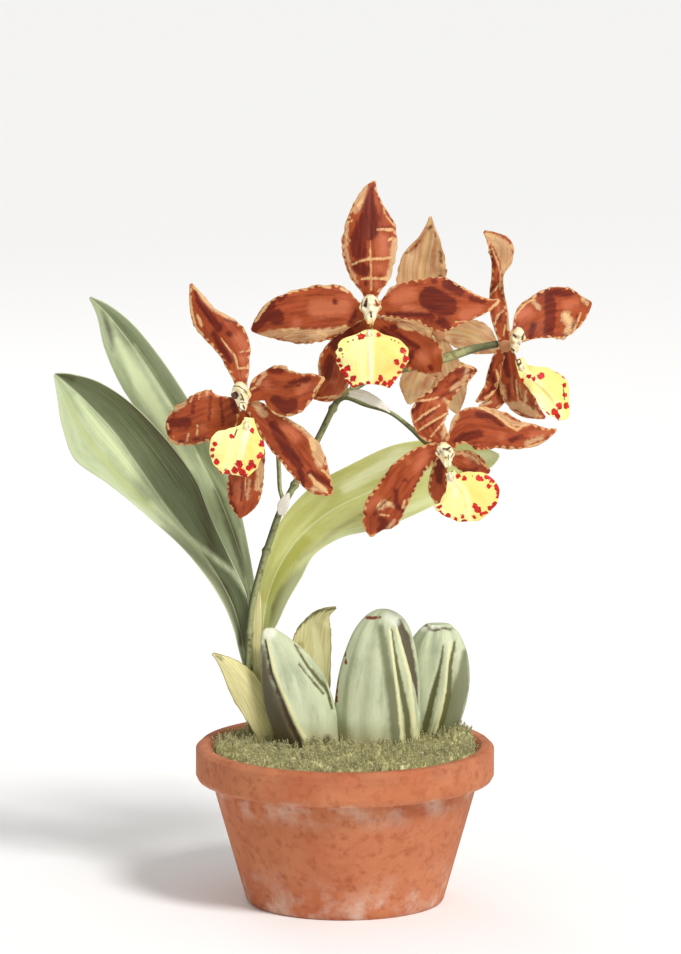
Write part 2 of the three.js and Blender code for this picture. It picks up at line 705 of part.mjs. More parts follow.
    tepals: [
      [
        [80, 199, 0.5, 2.5, 2.5, 0, 0],
        [78.5, 208, 1, 4, 3.5, 0, 0],
        [77.3, 216, 1, 5, 4, 1, -1],
        [76, 226, 1.5, 4, 3.2, 2, -2],
        [76, 235, 2, 3, 3.2, 2, -2],
        [77.5, 242.5, 1, 5, 6, 0, 0],
        [77, 248.5, -1, 6.3, 6.5, -2, 2],
        [73, 253, -3, 3.5, 3.5, -1, 1],
        [69, 256, -5, 0.7, 0.7, 0, 0],
      ],
      [
        [79.5, 199.5, 1, 2.5, 2.5, 0, 0],
        [76.5, 193, 3, 3, 3, 0, 0],
        [74, 185.5, 5, 3.7, 3, 0, 2],
        [72.5, 179.5, 6, 3.6, 2.7, 0, 2],
        [69.5, 175, 7, 2.8, 2.3, 0, 0],
        [65.5, 171.5, 8, 0.7, 0.7, 0, 0],
      ],
      [
        [80.5, 200.5, 0, 2.5, 2.5, 0, 0],
        [86.5, 204.5, -1, 5, 4, 0, 0],
        [93, 210.3, -2.5, 10.5, 9, 1, 1],
        [100, 214.8, -4, 11.8, 13, 1, 1],
        [108, 217.5, -5, 12.3, 14, 1.5, 1.5],
        [116, 219, -5, 9.5, 9.5, 1, 1],
        [121, 220.5, -4, 4.3, 4.3, 0, 0],
        [124, 221.6, -3, 0.7, 0.7, 0, 0],
      ],
      [
        [79.5, 198, 2.5, 2.5, 2.5, 0, 0],
        [77.5, 189, 5, 3.3, 3.3, 0, 0],
        [77, 181, 6.5, 3.8, 3.5, 0, 0],
        [76.3, 175, 7.5, 4.8, 4, 0, 0],
        [73.5, 171, 8, 4, 3.5, 0, 0],
        [67, 169.3, 8, 0.8, 0.8, 0, 0],
      ],
      [
        [80.5, 198.5, 0, 2.5, 2.5, 0, 0],
        [81.5, 192, -0.5, 4.5, 4.5, 0, 0],
        [82.3, 184.5, -1, 5.8, 5.8, 0, 1],
        [85, 176.5, -1.5, 8, 7, 0, 1],
        [90.5, 169.5, -2, 7, 6, 0, 1],
        [96, 165.8, -2, 3.5, 3, 0, 0],
        [100.5, 163.8, -2, 0.8, 0.8, 0, 0],
      ],
    ],
    lip: [
      [86.8, 193, -5, 2.2, 2.2, 0, 0, 0],
      [88.5, 188.5, -7, 3, 3, 0, 0, 0],
      [91.5, 184.8, -9.5, 6, 4.5, 2, 0, 0],
      [97, 180, -12, 10.8, 6, 7, -1, 0],
      [102, 175, -13.5, 11.8, 7, 9, -2, 0],
      [105.5, 169.5, -14, 8, 6.8, 7, -2, 0],
      [107.8, 165, -13.5, 4.5, 4, 3, 0, 0],
      [108.3, 162.3, -13, 2, 2, 0, 0, 0],
    ],
    column: { foot: [84, 196.8, -5], head: [86.7, 208, -8.5], halfWidth: 4.6, turned: 40 },
  },
  {
    heart: [50, 146.5],
    depth: -38,
    lean: 0.12,
    bow: 8,
    tepals: [
      [
        [49.5, 146.5, 1, 2.5, 2.5, 0, 0],
        [47, 153, 1, 4.5, 4.5, 0, 0],
        [42.5, 159, 2, 7.8, 8, 0, 1],
        [41, 167, 3, 8, 10.5, 1, 2],
        [45.5, 174.3, 3.5, 4.5, 8.5, 1, 2],
        [53.5, 180.3, 4, 5.5, 4.5, 0, 1],
        [60.5, 185.3, 4.5, 4.8, 3.5, 0, 0],
        [65.5, 187, 5, 0.7, 0.7, 0, 0],
      ],
      [
        [49.5, 147, 0.5, 2.5, 2.5, 0, 0],
        [44, 146.5, 0, 4.5, 4.5, 0, 0],
        [36.5, 142.5, -1.5, 6.5, 6, 0, 0],
        [29, 135.8, -2.5, 9, 7, 1, 1],
        [23, 127, -3, 10.3, 7.5, 1, 1],
        [17.5, 118, -3, 11.5, 8.5, 1.5, 1],
        [13.5, 110.5, -2.5, 8, 5, 1, 0],
        [13, 104.3, -2, 0.8, 0.8, 0, 0],
      ],
      [
        [50.5, 147.5, 0.5, 2.5, 2.5, 0, 0],
        [54.5, 153, 0, 4.5, 4, 0, 0],
        [60, 157.3, -1, 9.5, 10, 1, 1],
        [68, 158.3, -2, 10.5, 11, 1, 1],
        [77, 157, -2.5, 9.3, 9, 1.5, 1],
        [86, 155.2, -2, 6.8, 7.5, 1, 1],
        [95, 155, -1, 5, 5.5, 0, 1],
        [101, 156, 0, 2.3, 2.5, 0, 0],
        [105, 157.7, 1, 0.7, 0.7, 0, 0],
      ],
      [
        [49.5, 145, 2, 2.5, 2.5, 0, 0],
        [47.5, 140, 5, 3.5, 3.5, 0, 0],
        [46, 134, 9, 5, 4, 0, 0],
        [46, 127, 13, 5, 4.5, 0, 0],
        [47, 119, 16, 0.8, 0.8, 0, 0],
      ],
      [
        [51, 145.5, 2, 2.5, 2.5, 0, 0],
        [55, 143.5, 3, 4, 4, 0, 0],
        [60.5, 141.3, 5, 6, 5.5, 0, 0],
        [66.5, 138.8, 8, 4.8, 5, 0, 0],
        [72, 136.5, 10, 0.8, 0.8, 0, 0],
      ],
    ],
    lip: [
      [52, 136.5, -4.5, 2.3, 2.3, 0, 0, 0],
      [53.3, 133.5, -6, 3.5, 3.5, 0, 0, 0],
      [56, 130.5, -7.5, 9.5, 8, 1, 1, 0],
      [59, 126, -8.5, 16, 13.3, 2, 2, 0],
      [60.7, 121, -8.8, 15.7, 13.8, 2, 2, 0],
      [61.5, 116.7, -8, 10, 9.5, 1, 1, 0],
      [61.7, 113.5, -7, 5, 5, 0, 0, 0],
    ],
    column: { foot: [50.7, 139.5, -5.5], head: [48.6, 150.8, -8], halfWidth: 5, turned: 0 },
  },
  {
    heart: [47, 205.5],
    depth: 30,
    lean: 0.25,
    bow: -8,
    tepals: [
      [
        [46, 205, 0, 2.5, 2.5, 0, 0],
        [43.5, 216, 1, 6, 6, 0, 0],
        [40, 227.5, 2, 13.5, 10.5, -1, -1],
        [38.7, 237.5, 2, 12.2, 12.3, -2, -2],
        [40, 245.5, 1, 9.8, 10.2, -2, -2],
        [41.6, 253, 0, 5, 6.3, -1, -1],
        [42.5, 260, -1, 2, 2.3, 0, 0],
        [42.7, 264.3, -1, 0.6, 0.6, 0, 0],
      ],
      [
        [46, 206.5, 0, 2.5, 2.5, 0, 0],
        [40, 208, 0.5, 7, 6, 0, 0],
        [32, 209, 1, 9, 8, 0, 0],
        [24, 208, 1, 9, 8, 0, 0],
        [17, 206, 0, 6, 5, 0, 0],
        [11, 204, 0, 0.8, 0.8, 0, 0],
      ],
      [
        [48, 206.5, 0, 2.5, 2.5, 0, 0],
        [54, 207, 0.5, 6, 7, 0, 0],
        [61, 206, 1, 8, 9, 0, 0],
        [68, 203, 1, 8, 8, 0, 0],
        [73, 200, 0, 5, 5, 0, 0],
        [77.5, 197, -1, 0.8, 0.8, 0, 0],
      ],
      [
        [46, 204, 1, 2.5, 2.5, 0, 0],
        [43, 196, 2, 5, 5, 0, 0],
        [39, 188, 2, 7.5, 7.5, 0, 0],
        [35, 180, 1, 8, 8, 0, 0],
        [33, 174, 0, 4, 4, 0, 0],
        [32, 170.5, 0, 0.8, 0.8, 0, 0],
      ],
      [
        [48, 204, 1, 2.5, 2.5, 0, 0],
        [50.5, 195, 2, 5, 5, 0, 0],
        [52.5, 186, 2, 7.5, 7.5, 0, 0],
        [54, 177, 1, 7.5, 7.5, 0, 0],
        [55.5, 170, 0, 4, 4, 0, 0],
        [56.5, 166, 0, 0.8, 0.8, 0, 0],
      ],
    ],
    lip: [
      [47.2, 196.5, 5.5, 2.6, 2.6, 0, 0, 0],
      [47.2, 193.5, 7, 7, 7, 0, 0, 0],
      [47.2, 191, 8, 13, 13, -1, -1, 0],
      [47.2, 186.5, 9, 15.5, 15.5, -2, -2, 0],
      [47.2, 181.5, 9, 15.5, 15.5, -2, -2, 0],
      [47.2, 176.5, 8, 12, 12, -1, -1, 0.5],
      [47.2, 173.5, 7, 9, 9, 0, 0, 2],
    ],
    column: { foot: [47.2, 201, 6], head: [47.2, 213, 8.5], halfWidth: 5.3, turned: 180 },
  },
];

const heartRadii = [3.6, 2.6, 3.6];
const callusRadii = [2.4, 1.6, 2.8];
const callusShare = 0.14;

function facesAway(flower) {
  return flower.column.turned > 90;
}

function heart(flower) {
  const [across, rise] = flower.heart;
  const behind = facesAway(flower) ? -1 : 1;
  const ball = new THREE.SphereGeometry(1, 8, 5).scale(...heartRadii);
  return ball.translate(...seen(across, rise, flower.depth + behind).toArray());
}

function tepals(flower) {
  const [heartAcross, heartRise] = flower.heart;
  const blades = flower.tepals.map((stations, k) => {
    const set = stations.map(([x, rise, depth, ...rest]) => {
      const reach = Math.hypot(x - heartAcross, rise - heartRise) / bowReach;
      const back = flower.lean * (x - heartAcross) + flower.bow * reach * reach;
      return [x, rise, depth + flower.depth + back, ...rest];
    });
    return blade(set, petalThickness, { ...tepalForm, waveShift: bladeForm.waveShift + k });
  });
  return fused([...blades, heart(flower)]);
}

// A lip blade with its warty callus on the claw
function lip(flower) {
  const set = flower.lip.map(([x, rise, depth, ...rest]) => [x, rise, depth + flower.depth, ...rest]);
  const ahead = facesAway(flower) ? 1 : -1;
  const [x, rise, depth] = between(set, callusShare);
  const callus = new THREE.SphereGeometry(1, 8, 6).scale(...callusRadii);
  callus.translate(...seen(x, rise, depth + ahead).toArray());
  return fused([blade(set, lipThickness, lipForm), callus]);
}

// Half widths of the column from its foot to its head, as shares of the widest, which is across its wings
const columnShape = [[0, 0.4], [0.15, 0.55], [0.4, 0.72], [0.6, 1], [0.75, 0.86], [0.9, 0.62], [1, 0.25]];
const columnDepth = { least: 0.2, growth: 0.35 };

function column({ depth, column: { foot, head, halfWidth, turned } }) {
  const low = seen(foot[0], foot[1], foot[2] + depth);
  const high = seen(head[0], head[1], head[2] + depth);
  const axis = high.clone().sub(low);
  const turn = THREE.MathUtils.degToRad(turned);
  const side = new THREE.Vector3(Math.cos(turn), Math.sin(turn), 0);
  const face = side.clone().cross(axis).normalize();
  const rings = columnShape.map(([share, width]) => {
    const centre = low.clone().addScaledVector(axis, share);
    const points = [];
    for (let s = 0; s < columnSides; s += 1) {
      const angle = (2 * Math.PI * s) / columnSides;
      const across = halfWidth * width * Math.cos(angle);
      const deep = halfWidth * (columnDepth.least + columnDepth.growth * width) * Math.sin(angle);
      points.push(centre.clone().addScaledVector(side, across).addScaledVector(face, deep));
    }
    return points;
  });
  return skin(rings);
}

// Materials: colour, roughness
const finishes = {
  terracotta: [0xb5673f, 0.9],
  bark: [0x4a3626, 1],
  moss: [0x8f9458, 1],
  rhizome: [0x7d6a3f, 0.8],
  pseudobulb: [0xb9c39c, 0.5],
  sheath: [0xcfc986, 0.7],
  leaf: [0x7f8f5f, 0.5],
  youngLeaf: [0xa9b35b, 0.5],
  stem: [0x68733c, 0.5],
  bract: [0xe6e0cf, 0.7],
  tepal: [0xa8441e, 0.5],
  tepalBack: [0xd7b48a, 0.6],
  lip: [0xf6ee93, 0.5],
  column: [0xf3e6c0, 0.5],
};

const plant = new THREE.Group();

function add(name, geometry, finish) {
  const [color, roughness] = finishes[finish];
  const mesh = new THREE.Mesh(geometry, new THREE.MeshStandardMaterial({ color, roughness, metalness: 0 }));
  mesh.name = name;
  plant.add(mesh);
}

const holeClearance = 0.4;
const slotClearance = 1;
const slotThickness = sheathThickness + 2.5 * holeClearance;

// The slot that a sheath's foot stands in: the same blade, thicker, wider and deeper
function sheathSlot(stations) {
  const wider = stations.map(([x, rise, depth, left, right, ...rest]) => (
    [x, rise - slotClearance, depth, left + slotClearance, right + slotClearance, ...rest]
  ));
  return blade(wider, slotThickness, sheathForm);
}

// The main stalk with its foot a little deeper
const [[footAcross, footRise, footDepth], ...restOfStalk] = mainStalk;
const sunkStalk = [[footAcross, footRise - slotClearance, footDepth], ...restOfStalk];

const sunkPieces = [
  ...bulbs.map((spec) => bulb(spec, bulbSides, holeClearance)),
  bulb(youngBulb, youngBulbSides, holeClearance),
  stalk(sunkStalk, stemRadius + holeClearance, stemSteps),
  sheathSlot(sheaths.sheath_outer),
  sheathSlot(sheaths.sheath_old),
];
const rootedHoles = rhizome(holeClearance);

add('pot', pot(), 'terracotta');
add('compost', cut(compost(), rootedHoles), 'bark');
add('moss', cut(moss(), [...sunkPieces, ...rootedHoles]), 'moss');
add('rhizome', fused(rhizome()), 'rhizome');
bulbs.forEach((spec, i) => add(`pseudobulb_${i + 1}`, bulb(spec), 'pseudobulb'));
add('young_bulb', bulb(youngBulb, youngBulbSides), 'pseudobulb');
Object.entries(sheaths).forEach(([name, stations]) => {
  add(name, blade(stations, sheathThickness, sheathForm), 'sheath');
});
Object.entries(leaves).forEach(([name, stations]) => {
  add(name, blade(stations, leafThickness, leafForm), name === 'leaf_3' ? 'youngLeaf' : 'leaf');
});
add('flower_stem', flowerStem(), 'stem');
Object.entries(bracts).forEach(([name, stations]) => {
  add(name, blade(stations, petalThickness, bractForm), 'bract');
});
flowers.forEach((flower, i) => {
  add(`flower_${i + 1}_tepals`, tepals(flower), facesAway(flower) ? 'tepalBack' : 'tepal');
  add(`flower_${i + 1}_lip`, lip(flower), 'lip');
  add(`flower_${i + 1}_column`, column(flower), 'column');
});

export default plant;
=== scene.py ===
# Odontoglossum insleayi in a terracotta orchid pan, dressed for the render.
# Shapes are worked out in millimetres, as in the solids, and their meshes are made in metres.

import math

import bmesh
import bpy
import numpy as np
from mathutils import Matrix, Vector, noise


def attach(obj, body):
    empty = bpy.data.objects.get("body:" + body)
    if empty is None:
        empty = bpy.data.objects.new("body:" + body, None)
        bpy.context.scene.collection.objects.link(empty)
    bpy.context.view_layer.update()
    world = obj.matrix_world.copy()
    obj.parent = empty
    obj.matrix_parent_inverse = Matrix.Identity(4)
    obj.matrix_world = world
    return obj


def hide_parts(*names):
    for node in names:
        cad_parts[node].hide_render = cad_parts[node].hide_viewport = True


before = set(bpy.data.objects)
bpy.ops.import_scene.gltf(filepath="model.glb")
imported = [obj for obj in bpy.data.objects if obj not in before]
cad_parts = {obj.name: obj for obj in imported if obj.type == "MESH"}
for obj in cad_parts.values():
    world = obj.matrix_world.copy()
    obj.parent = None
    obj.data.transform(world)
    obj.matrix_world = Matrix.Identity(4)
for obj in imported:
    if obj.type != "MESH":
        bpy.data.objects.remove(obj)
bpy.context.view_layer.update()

metresPerMm = 0.001
farOff = 20.0  # millimetres to a brush mark that isn't there
mossLevel = 80
sightTilt = math.radians(10)

# Camera: looks down by the sight tilt, from far enough to flatten the view
shot = {
    "distance": 4000,
    "across": -2.25,  # middle of the view, measured as the plant is
    "rise": 134,
    "viewHeight": 477,  # millimetres from the bottom to the top of the view
    "sensor": 36,
    "nearest": 0.1,  # metres between which things are seen
    "furthest": 100,
}


def seen(across, rise, depth):
    across, rise, depth = np.broadcast_arrays(across, rise, depth)
    up = (rise - depth * math.sin(sightTilt)) / math.cos(sightTilt)
    return np.stack([across, depth, mossLevel + up], axis=-1)


def makeCamera():
    data = bpy.data.cameras.new("plantCamera")
    data.sensor_fit = "VERTICAL"
    data.sensor_height = shot["sensor"]
    data.lens = shot["sensor"] * shot["distance"] / shot["viewHeight"]
    data.clip_start = shot["nearest"]
    data.clip_end = shot["furthest"]
    camera = bpy.data.objects.new("plantCamera", data)
    bpy.context.scene.collection.objects.link(camera)
    back = Vector((0, -math.cos(sightTilt), math.sin(sightTilt)))
    target = Vector(seen(shot["across"], shot["rise"], 0).tolist()) * metresPerMm
    camera.location = target + back * shot["distance"] * metresPerMm
    camera.rotation_euler = (-back).to_track_quat("-Z", "Y").to_euler()
    bpy.context.scene.camera = camera


makeCamera()
print("camera set")


# Shader nodes

def addNode(tree, kind, settings=None, values=None):
    made = tree.nodes.new(kind)
    for key, value in (settings or {}).items():
        setattr(made, key, value)
    for key, value in (values or {}).items():
        if isinstance(value, bpy.types.NodeSocket):
            tree.links.new(value, made.inputs[key])
        else:
            made.inputs[key].default_value = value
    return made


def maths(tree, operation, *values):
    return addNode(tree, "ShaderNodeMath", {"operation": operation}, dict(enumerate(values))).outputs[0]


def times(tree, first, second):
    return maths(tree, "MULTIPLY", first, second)


def blend(tree, share, first, second):
    # each colour is a socket or a text such as "#A8441E"
    first, second = (paint(colour) if isinstance(colour, str) else colour for colour in (first, second))
    settings = {"data_type": "RGBA", "blend_type": "MIX", "clamp_factor": True}
    return addNode(tree, "ShaderNodeMix", settings, {0: share, 6: first, 7: second}).outputs[2]


def coat(tree, colour, mask, strength, tint):
    # lays a tint over a colour where the mask is, at no more than this strength
    return blend(tree, times(tree, mask, strength), colour, tint)


def span(tree, value, low, high, bottom=0.0, top=1.0):
    values = {"Value": value, "From Min": low, "From Max": high, "To Min": bottom, "To Max": top}
    return addNode(tree, "ShaderNodeMapRange", {"interpolation_type": "SMOOTHSTEP"}, values).outputs[0]


def fromMesh(tree, name):
    return addNode(tree, "ShaderNodeAttribute", {"attribute_name": name}).outputs["Fac"]


def onPiece(tree):
    return addNode(tree, "ShaderNodeTexCoord").outputs["Object"]


def combined(tree, x, y, z):
    return addNode(tree, "ShaderNodeCombineXYZ", None, {0: x, 1: y, 2: z}).outputs[0]


def cloudy(tree, vector, scale, detail=3.0, rough=0.5):
    values = {"Vector": vector, "Scale": scale, "Detail": detail, "Roughness": rough}
    return addNode(tree, "ShaderNodeTexNoise", None, values).outputs["Fac"]


def paint(text):
    # linear colour from hexadecimal
    parts = [int(text[i:i + 2], 16) / 255 for i in (1, 3, 5)]
    return (*(p / 12.92 if p <= 0.04045 else ((p + 0.055) / 1.055) ** 2.4 for p in parts), 1.0)


def newGroup(name, inputs, output):
    # a shared shader group with numbers in and one number out
    tree = bpy.data.node_groups.new(name, "ShaderNodeTree")
    for title, value in inputs.items():
        tree.interface.new_socket(title, in_out="INPUT", socket_type="NodeSocketFloat").default_value = value
    tree.interface.new_socket(output, in_out="OUTPUT", socket_type="NodeSocketFloat")
    return tree, tree.nodes.new("NodeGroupInput").outputs, tree.nodes.new("NodeGroupOutput").inputs[output]


def place(tree, group, **values):
    return addNode(tree, "ShaderNodeGroup", {"node_tree": group}, values).outputs[0]


# Fine lines that run along a blade, from millimetres over and along it
def makeStreaks():
    inputs = {"Over": 0.0, "Along": 0.0, "Tone": 0.0, "Fineness": 1.0, "Stretch": 0.1}
    tree, given, lines = newGroup("streaks", inputs, "Lines")
    x = times(tree, given["Over"], given["Fineness"])
    y = times(tree, given["Along"], given["Stretch"])
    z = times(tree, given["Tone"], 31.0)
    tree.links.new(cloudy(tree, combined(tree, x, y, z), 1.0, 4.0, 0.6), lines)
    return tree


# A brush mark from its signed distance in millimetres, with a wandering edge
def makeMark():
    inputs = {"Distance": 10.0, "Wander": 0.4, "Grain": 900.0, "Softness": 0.25}
    tree, given, mask = newGroup("brushMark", inputs, "Mask")
    rough = maths(tree, "SUBTRACT", cloudy(tree, onPiece(tree), given["Grain"], 2.0), 0.5)
    bent = maths(tree, "MULTIPLY_ADD", rough, times(tree, given["Wander"], 4.0), given["Distance"])
    tree.links.new(span(tree, maths(tree, "DIVIDE", bent, given["Softness"]), 1.0, -1.0), mask)
    return tree


# Soft uneven tone over a whole piece
def makeMottle():
    tree, given, tone = newGroup("mottle", {"Size": 120.0, "Low": 0.35, "High": 0.65}, "Value")
    cloud = cloudy(tree, onPiece(tree), given["Size"], 4.0, 0.6)
    values = {"Value": cloud, "From Min": given["Low"], "From Max": given["High"]}
    tree.links.new(addNode(tree, "ShaderNodeMapRange", None, values).outputs[0], tone)
    return tree


streaks = makeStreaks()
brushMark = makeMark()
mottle = makeMottle()


def drawn(tree, over, fineness, stretch):
    # fine lines along a piece, different on each by its tone
    along, tone = fromMesh(tree, "along"), fromMesh(tree, "tone")
    return place(tree, streaks, Over=over, Along=along, Tone=tone, Fineness=fineness, Stretch=stretch)


def marked(tree, layer, wanderBy, soft, grain=900.0, bend=None):
    # the mask of one layer of brush marks, whose edges the bend pulls about
    distance = fromMesh(tree, layer)
    if bend is not None:
        distance = maths(tree, "ADD", distance, bend)
    return place(tree, brushMark, Distance=distance, Wander=wanderBy, Grain=grain, Softness=soft)


def patches(tree, size, low=0.35, high=0.65):
    return place(tree, mottle, Size=size, Low=low, High=high)


def newMaterial(name):
    material = bpy.data.materials.new(name)
    material.use_nodes = True
    tree = material.node_tree
    return material, tree, tree.nodes["Principled BSDF"]


def relief(tree, shader, height, distance, strength=1.0):
    values = {"Strength": strength, "Distance": distance, "Height": height}
    bump = addNode(tree, "ShaderNodeBump", None, values)
    tree.links.new(bump.outputs[0], shader.inputs["Normal"])


def finish(tree, shader, colour, roughness, gloss=0.5):
    tree.links.new(colour, shader.inputs["Base Color"])
    if isinstance(roughness, bpy.types.NodeSocket):
        tree.links.new(roughness, shader.inputs["Roughness"])
    else:
        shader.inputs["Roughness"].default_value = roughness
    shader.inputs["Specular IOR Level"].default_value = gloss


# Meshes

def between(stations, t):
    table = np.asarray(stations, float)
    t = np.asarray(t, float)
    spans = len(table) - 1
    i = np.minimum(np.floor(t * spans).astype(int), spans - 1)
    f = (t * spans - i)[..., None]
    a, b, c, d = (table[np.clip(i + k, 0, spans)] for k in (-1, 0, 1, 2))
    return b + 0.5 * f * (c - a + f * (2 * a - 5 * b + 4 * c - d + f * (3 * (b - c) + d - a)))


def wander(seed, knots, t):
    # smooth random values from -1 to 1 along t
    table = np.random.default_rng(seed).uniform(-1, 1, (knots, 1))
    return between(table, t)[..., 0]


def strokeDistance(across, rise, strokes):
    # millimetres to the nearest stroke, negative inside
    best = np.full(across.shape, farOff)
    for stroke in strokes:
        ends = np.reshape(stroke, (-1, 3))
        ends = ends if len(ends) > 1 else [ends[0], ends[0]]
        for (ax, ay, ar), (bx, by, br) in zip(ends[:-1], ends[1:]):
            dx, dy = bx - ax, by - ay
            share = np.clip(((across - ax) * dx + (rise - ay) * dy) / max(dx * dx + dy * dy, 1e-9), 0, 1)
            off = np.hypot(across - ax - share * dx, rise - ay - share * dy) - (ar + (br - ar) * share)
            best = np.minimum(best, off)
    return best


paintLayers = ("pale", "dark", "tan", "light", "spot")


class Heap:
    # gathers points, faces and per-point values of one piece

    def __init__(self):
        self.points = []
        self.faces = []
        self.values = {}
        self.count = 0

    def add(self, points, faces, **values):
        points = np.asarray(points, float).reshape(-1, 3)
        faces = np.asarray(faces)
        a, b, c = points[faces[:, 0]], points[faces[:, 1]], points[faces[:, 2]]
        volume = np.einsum("ij,ij->i", a, np.cross(b, c)).sum()
        if faces.shape[1] == 4:
            d = points[faces[:, 3]]
            volume += np.einsum("ij,ij->i", a, np.cross(c, d)).sum()
        self.points.append(points)
        self.faces.append((faces[:, ::-1] if volume < 0 else faces) + self.count)
        for key in {**self.values, **values}:
            unset = farOff if key in paintLayers else 0.0
            old = self.values.setdefault(key, [np.full(self.count, unset)] if self.count else [])
            given = values.get(key, unset)
            given = np.asarray(given, float).ravel() if np.ndim(given) else given
            old.append(np.broadcast_to(given, len(points)))
        self.count += len(points)

    def make(self, name, materials):
        mesh = bpy.data.meshes.new(name)
        points = np.concatenate(self.points) * metresPerMm
        faces = [face for block in self.faces for face in block.tolist()]
        faces = [tuple(dict.fromkeys(face)) for face in faces]
        mesh.from_pydata(points.tolist(), [], [face for face in faces if len(face) > 2])
        for key, blocks in self.values.items():
            layer = mesh.attributes.new(key, "FLOAT", "POINT")
            layer.data.foreach_set("value", np.concatenate(blocks).astype(np.float32))
        mesh.shade_smooth()
        piece = bpy.data.objects.new(name, mesh)
        bpy.context.scene.collection.objects.link(piece)
        for material in materials:
            mesh.materials.append(material)
        return piece


def pieceName(node):
    # "flower_1_lip" becomes "flower1Lip"
    first, *rest = node.split("_")
    return first + "".join(word.title() for word in rest)


def settle(piece, slot, *nodes):
    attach(piece, "root")
    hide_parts(*nodes)


def skinFaces(rings, sides):
    # quads between rings of points, and the indices of both end centres
    r, s = np.meshgrid(np.arange(rings - 1), np.arange(sides), indexing="ij")
    a = (r * sides + s).ravel()
    b = (r * sides + (s + 1) % sides).ravel()
    quads = np.stack([a, b, b + sides, a + sides], axis=1)
    turn = np.arange(sides)
    after = (turn + 1) % sides
    low = np.full(sides, rings * sides)
    foot = np.stack([after, turn, low, low], axis=1)
    last = (rings - 1) * sides
    head = np.stack([turn + last, after + last, low + 1, low + 1], axis=1)
    return np.concatenate([quads, foot, head])


def addSkin(heap, rings, **values):
    count, sides = rings.shape[:2]
    points = np.concatenate([rings.reshape(-1, 3), rings[0].mean(axis=0)[None], rings[-1].mean(axis=0)[None]])
    full = {}
    for key, value in values.items():
        if np.ndim(value):
            value = np.asarray(value, float).reshape(count, sides)
            value = np.concatenate([value.ravel(), [value[0].mean(), value[-1].mean()]])
        full[key] = value
    heap.add(points, skinFaces(count, sides), **full)


def addBall(heap, centre, radii, turn=0.0, rows=16, sides=24, **values):
    # an ellipsoid, turned in the plane that is seen
    v = np.linspace(0.02, math.pi - 0.02, rows)[:, None]
    s = np.linspace(0, 2 * math.pi, sides, endpoint=False)[None, :]
    x = radii[0] * np.sin(v) * np.cos(s)
    y = radii[1] * np.sin(v) * np.sin(s)
    z = radii[2] * np.cos(v) * np.ones_like(s)
    c, d = math.cos(turn), math.sin(turn)
    addSkin(heap, np.stack([x * c - z * d, y, x * d + z * c], axis=-1) + np.asarray(centre), **values)


# Blades: leaves, sheaths, sepals, petals and lips, each drawn through stations as its solid is
bladeForm = {
    "rows": 80, "columns": 32, "thickness": 0.8, "least": 0.4, "fold": 2, "wave": 0, "waves": 3,
    "waveShift": 1.6, "frill": 0, "frills": 14, "notch": 0, "knots": 40, "rib": 0, "ribWidth": 0.7,
    "lumps": 0,
}


def filled(stations, columns=8):
    # a station may leave out its last values, which are then nought
    return np.array([[*row, *[0] * (columns - len(row))] for row in stations], float)


def bladeSheet(stations, form, seed):
    # a station is across, rise, depth, both half widths, how far both margins bend back, and the sweep
    def random(shift, knots):
        return wander(seed + shift, knots, t)[:, None]

    stations = filled(stations)
    t = np.linspace(0, 1, form["rows"] + 1)
    lean = math.pi / 2 * 0.9
    u = np.sin(np.linspace(-lean, lean, form["columns"] + 1)) / math.sin(lean)
    here = between(stations, t)
    step = 0.01
    along = (between(stations, np.minimum(t + step, 1)) - between(stations, np.maximum(t - step, 0)))[:, :2]
    along /= np.linalg.norm(along, axis=1, keepdims=True)
    t2, u2 = np.meshgrid(t, u, indexing="ij")
    isLeft = u2 < 0
    half = np.maximum(np.where(isLeft, here[:, 3:4], here[:, 4:5]), form["least"])
    out = np.abs(u2)
    ragged = np.where(isLeft, random(0, form["knots"]), random(1, form["knots"]))
    reach = u2 * half * (1 + form["notch"] * ragged * out ** 6)
    waveTurn = 2 * math.pi * form["waves"] * t2 + np.where(isLeft, 0, form["waveShift"])
    wave = form["wave"] * out ** 2 * np.sin(waveTurn)
    side = np.where(isLeft, random(2, form["frills"]), random(3, form["frills"]))
    back = np.where(isLeft, here[:, 5:6], here[:, 6:7]) * out ** form["fold"]
    back = back + (wave + form["frill"] * side * out ** 3) * np.sin(math.pi * t2)
    lumps = random(4, 9) * np.cos(2.2 * u2 + 2 * random(5, 6))
    back = back + form["lumps"] * lumps * np.sin(math.pi * t2) * (1 - out ** 4)
    rib = np.exp(-(reach / form["ribWidth"]) ** 2) * np.sin(math.pi * np.clip(t2 * 1.05, 0, 1))
    back = back + form["rib"] * rib
    run = here[:, 7:8] * out ** 2
    across = here[:, 0:1] + along[:, 1:2] * reach + along[:, 0:1] * run
    rise = here[:, 1:2] - along[:, 0:1] * reach + along[:, 1:2] * run
    steps = np.linalg.norm(np.diff(here[:, :2], axis=0), axis=1)
    walked = np.concatenate([[0], np.cumsum(steps)])[:, None] * np.ones_like(u2)
    rim = np.minimum((1 - out) * half, walked[-1:] - walked + 0.3)
    return {"across": across, "rise": rise, "depth": here[:, 2:3] + back, "t": t2, "u": u2, "along": walked,
            "over": reach, "rim": rim}


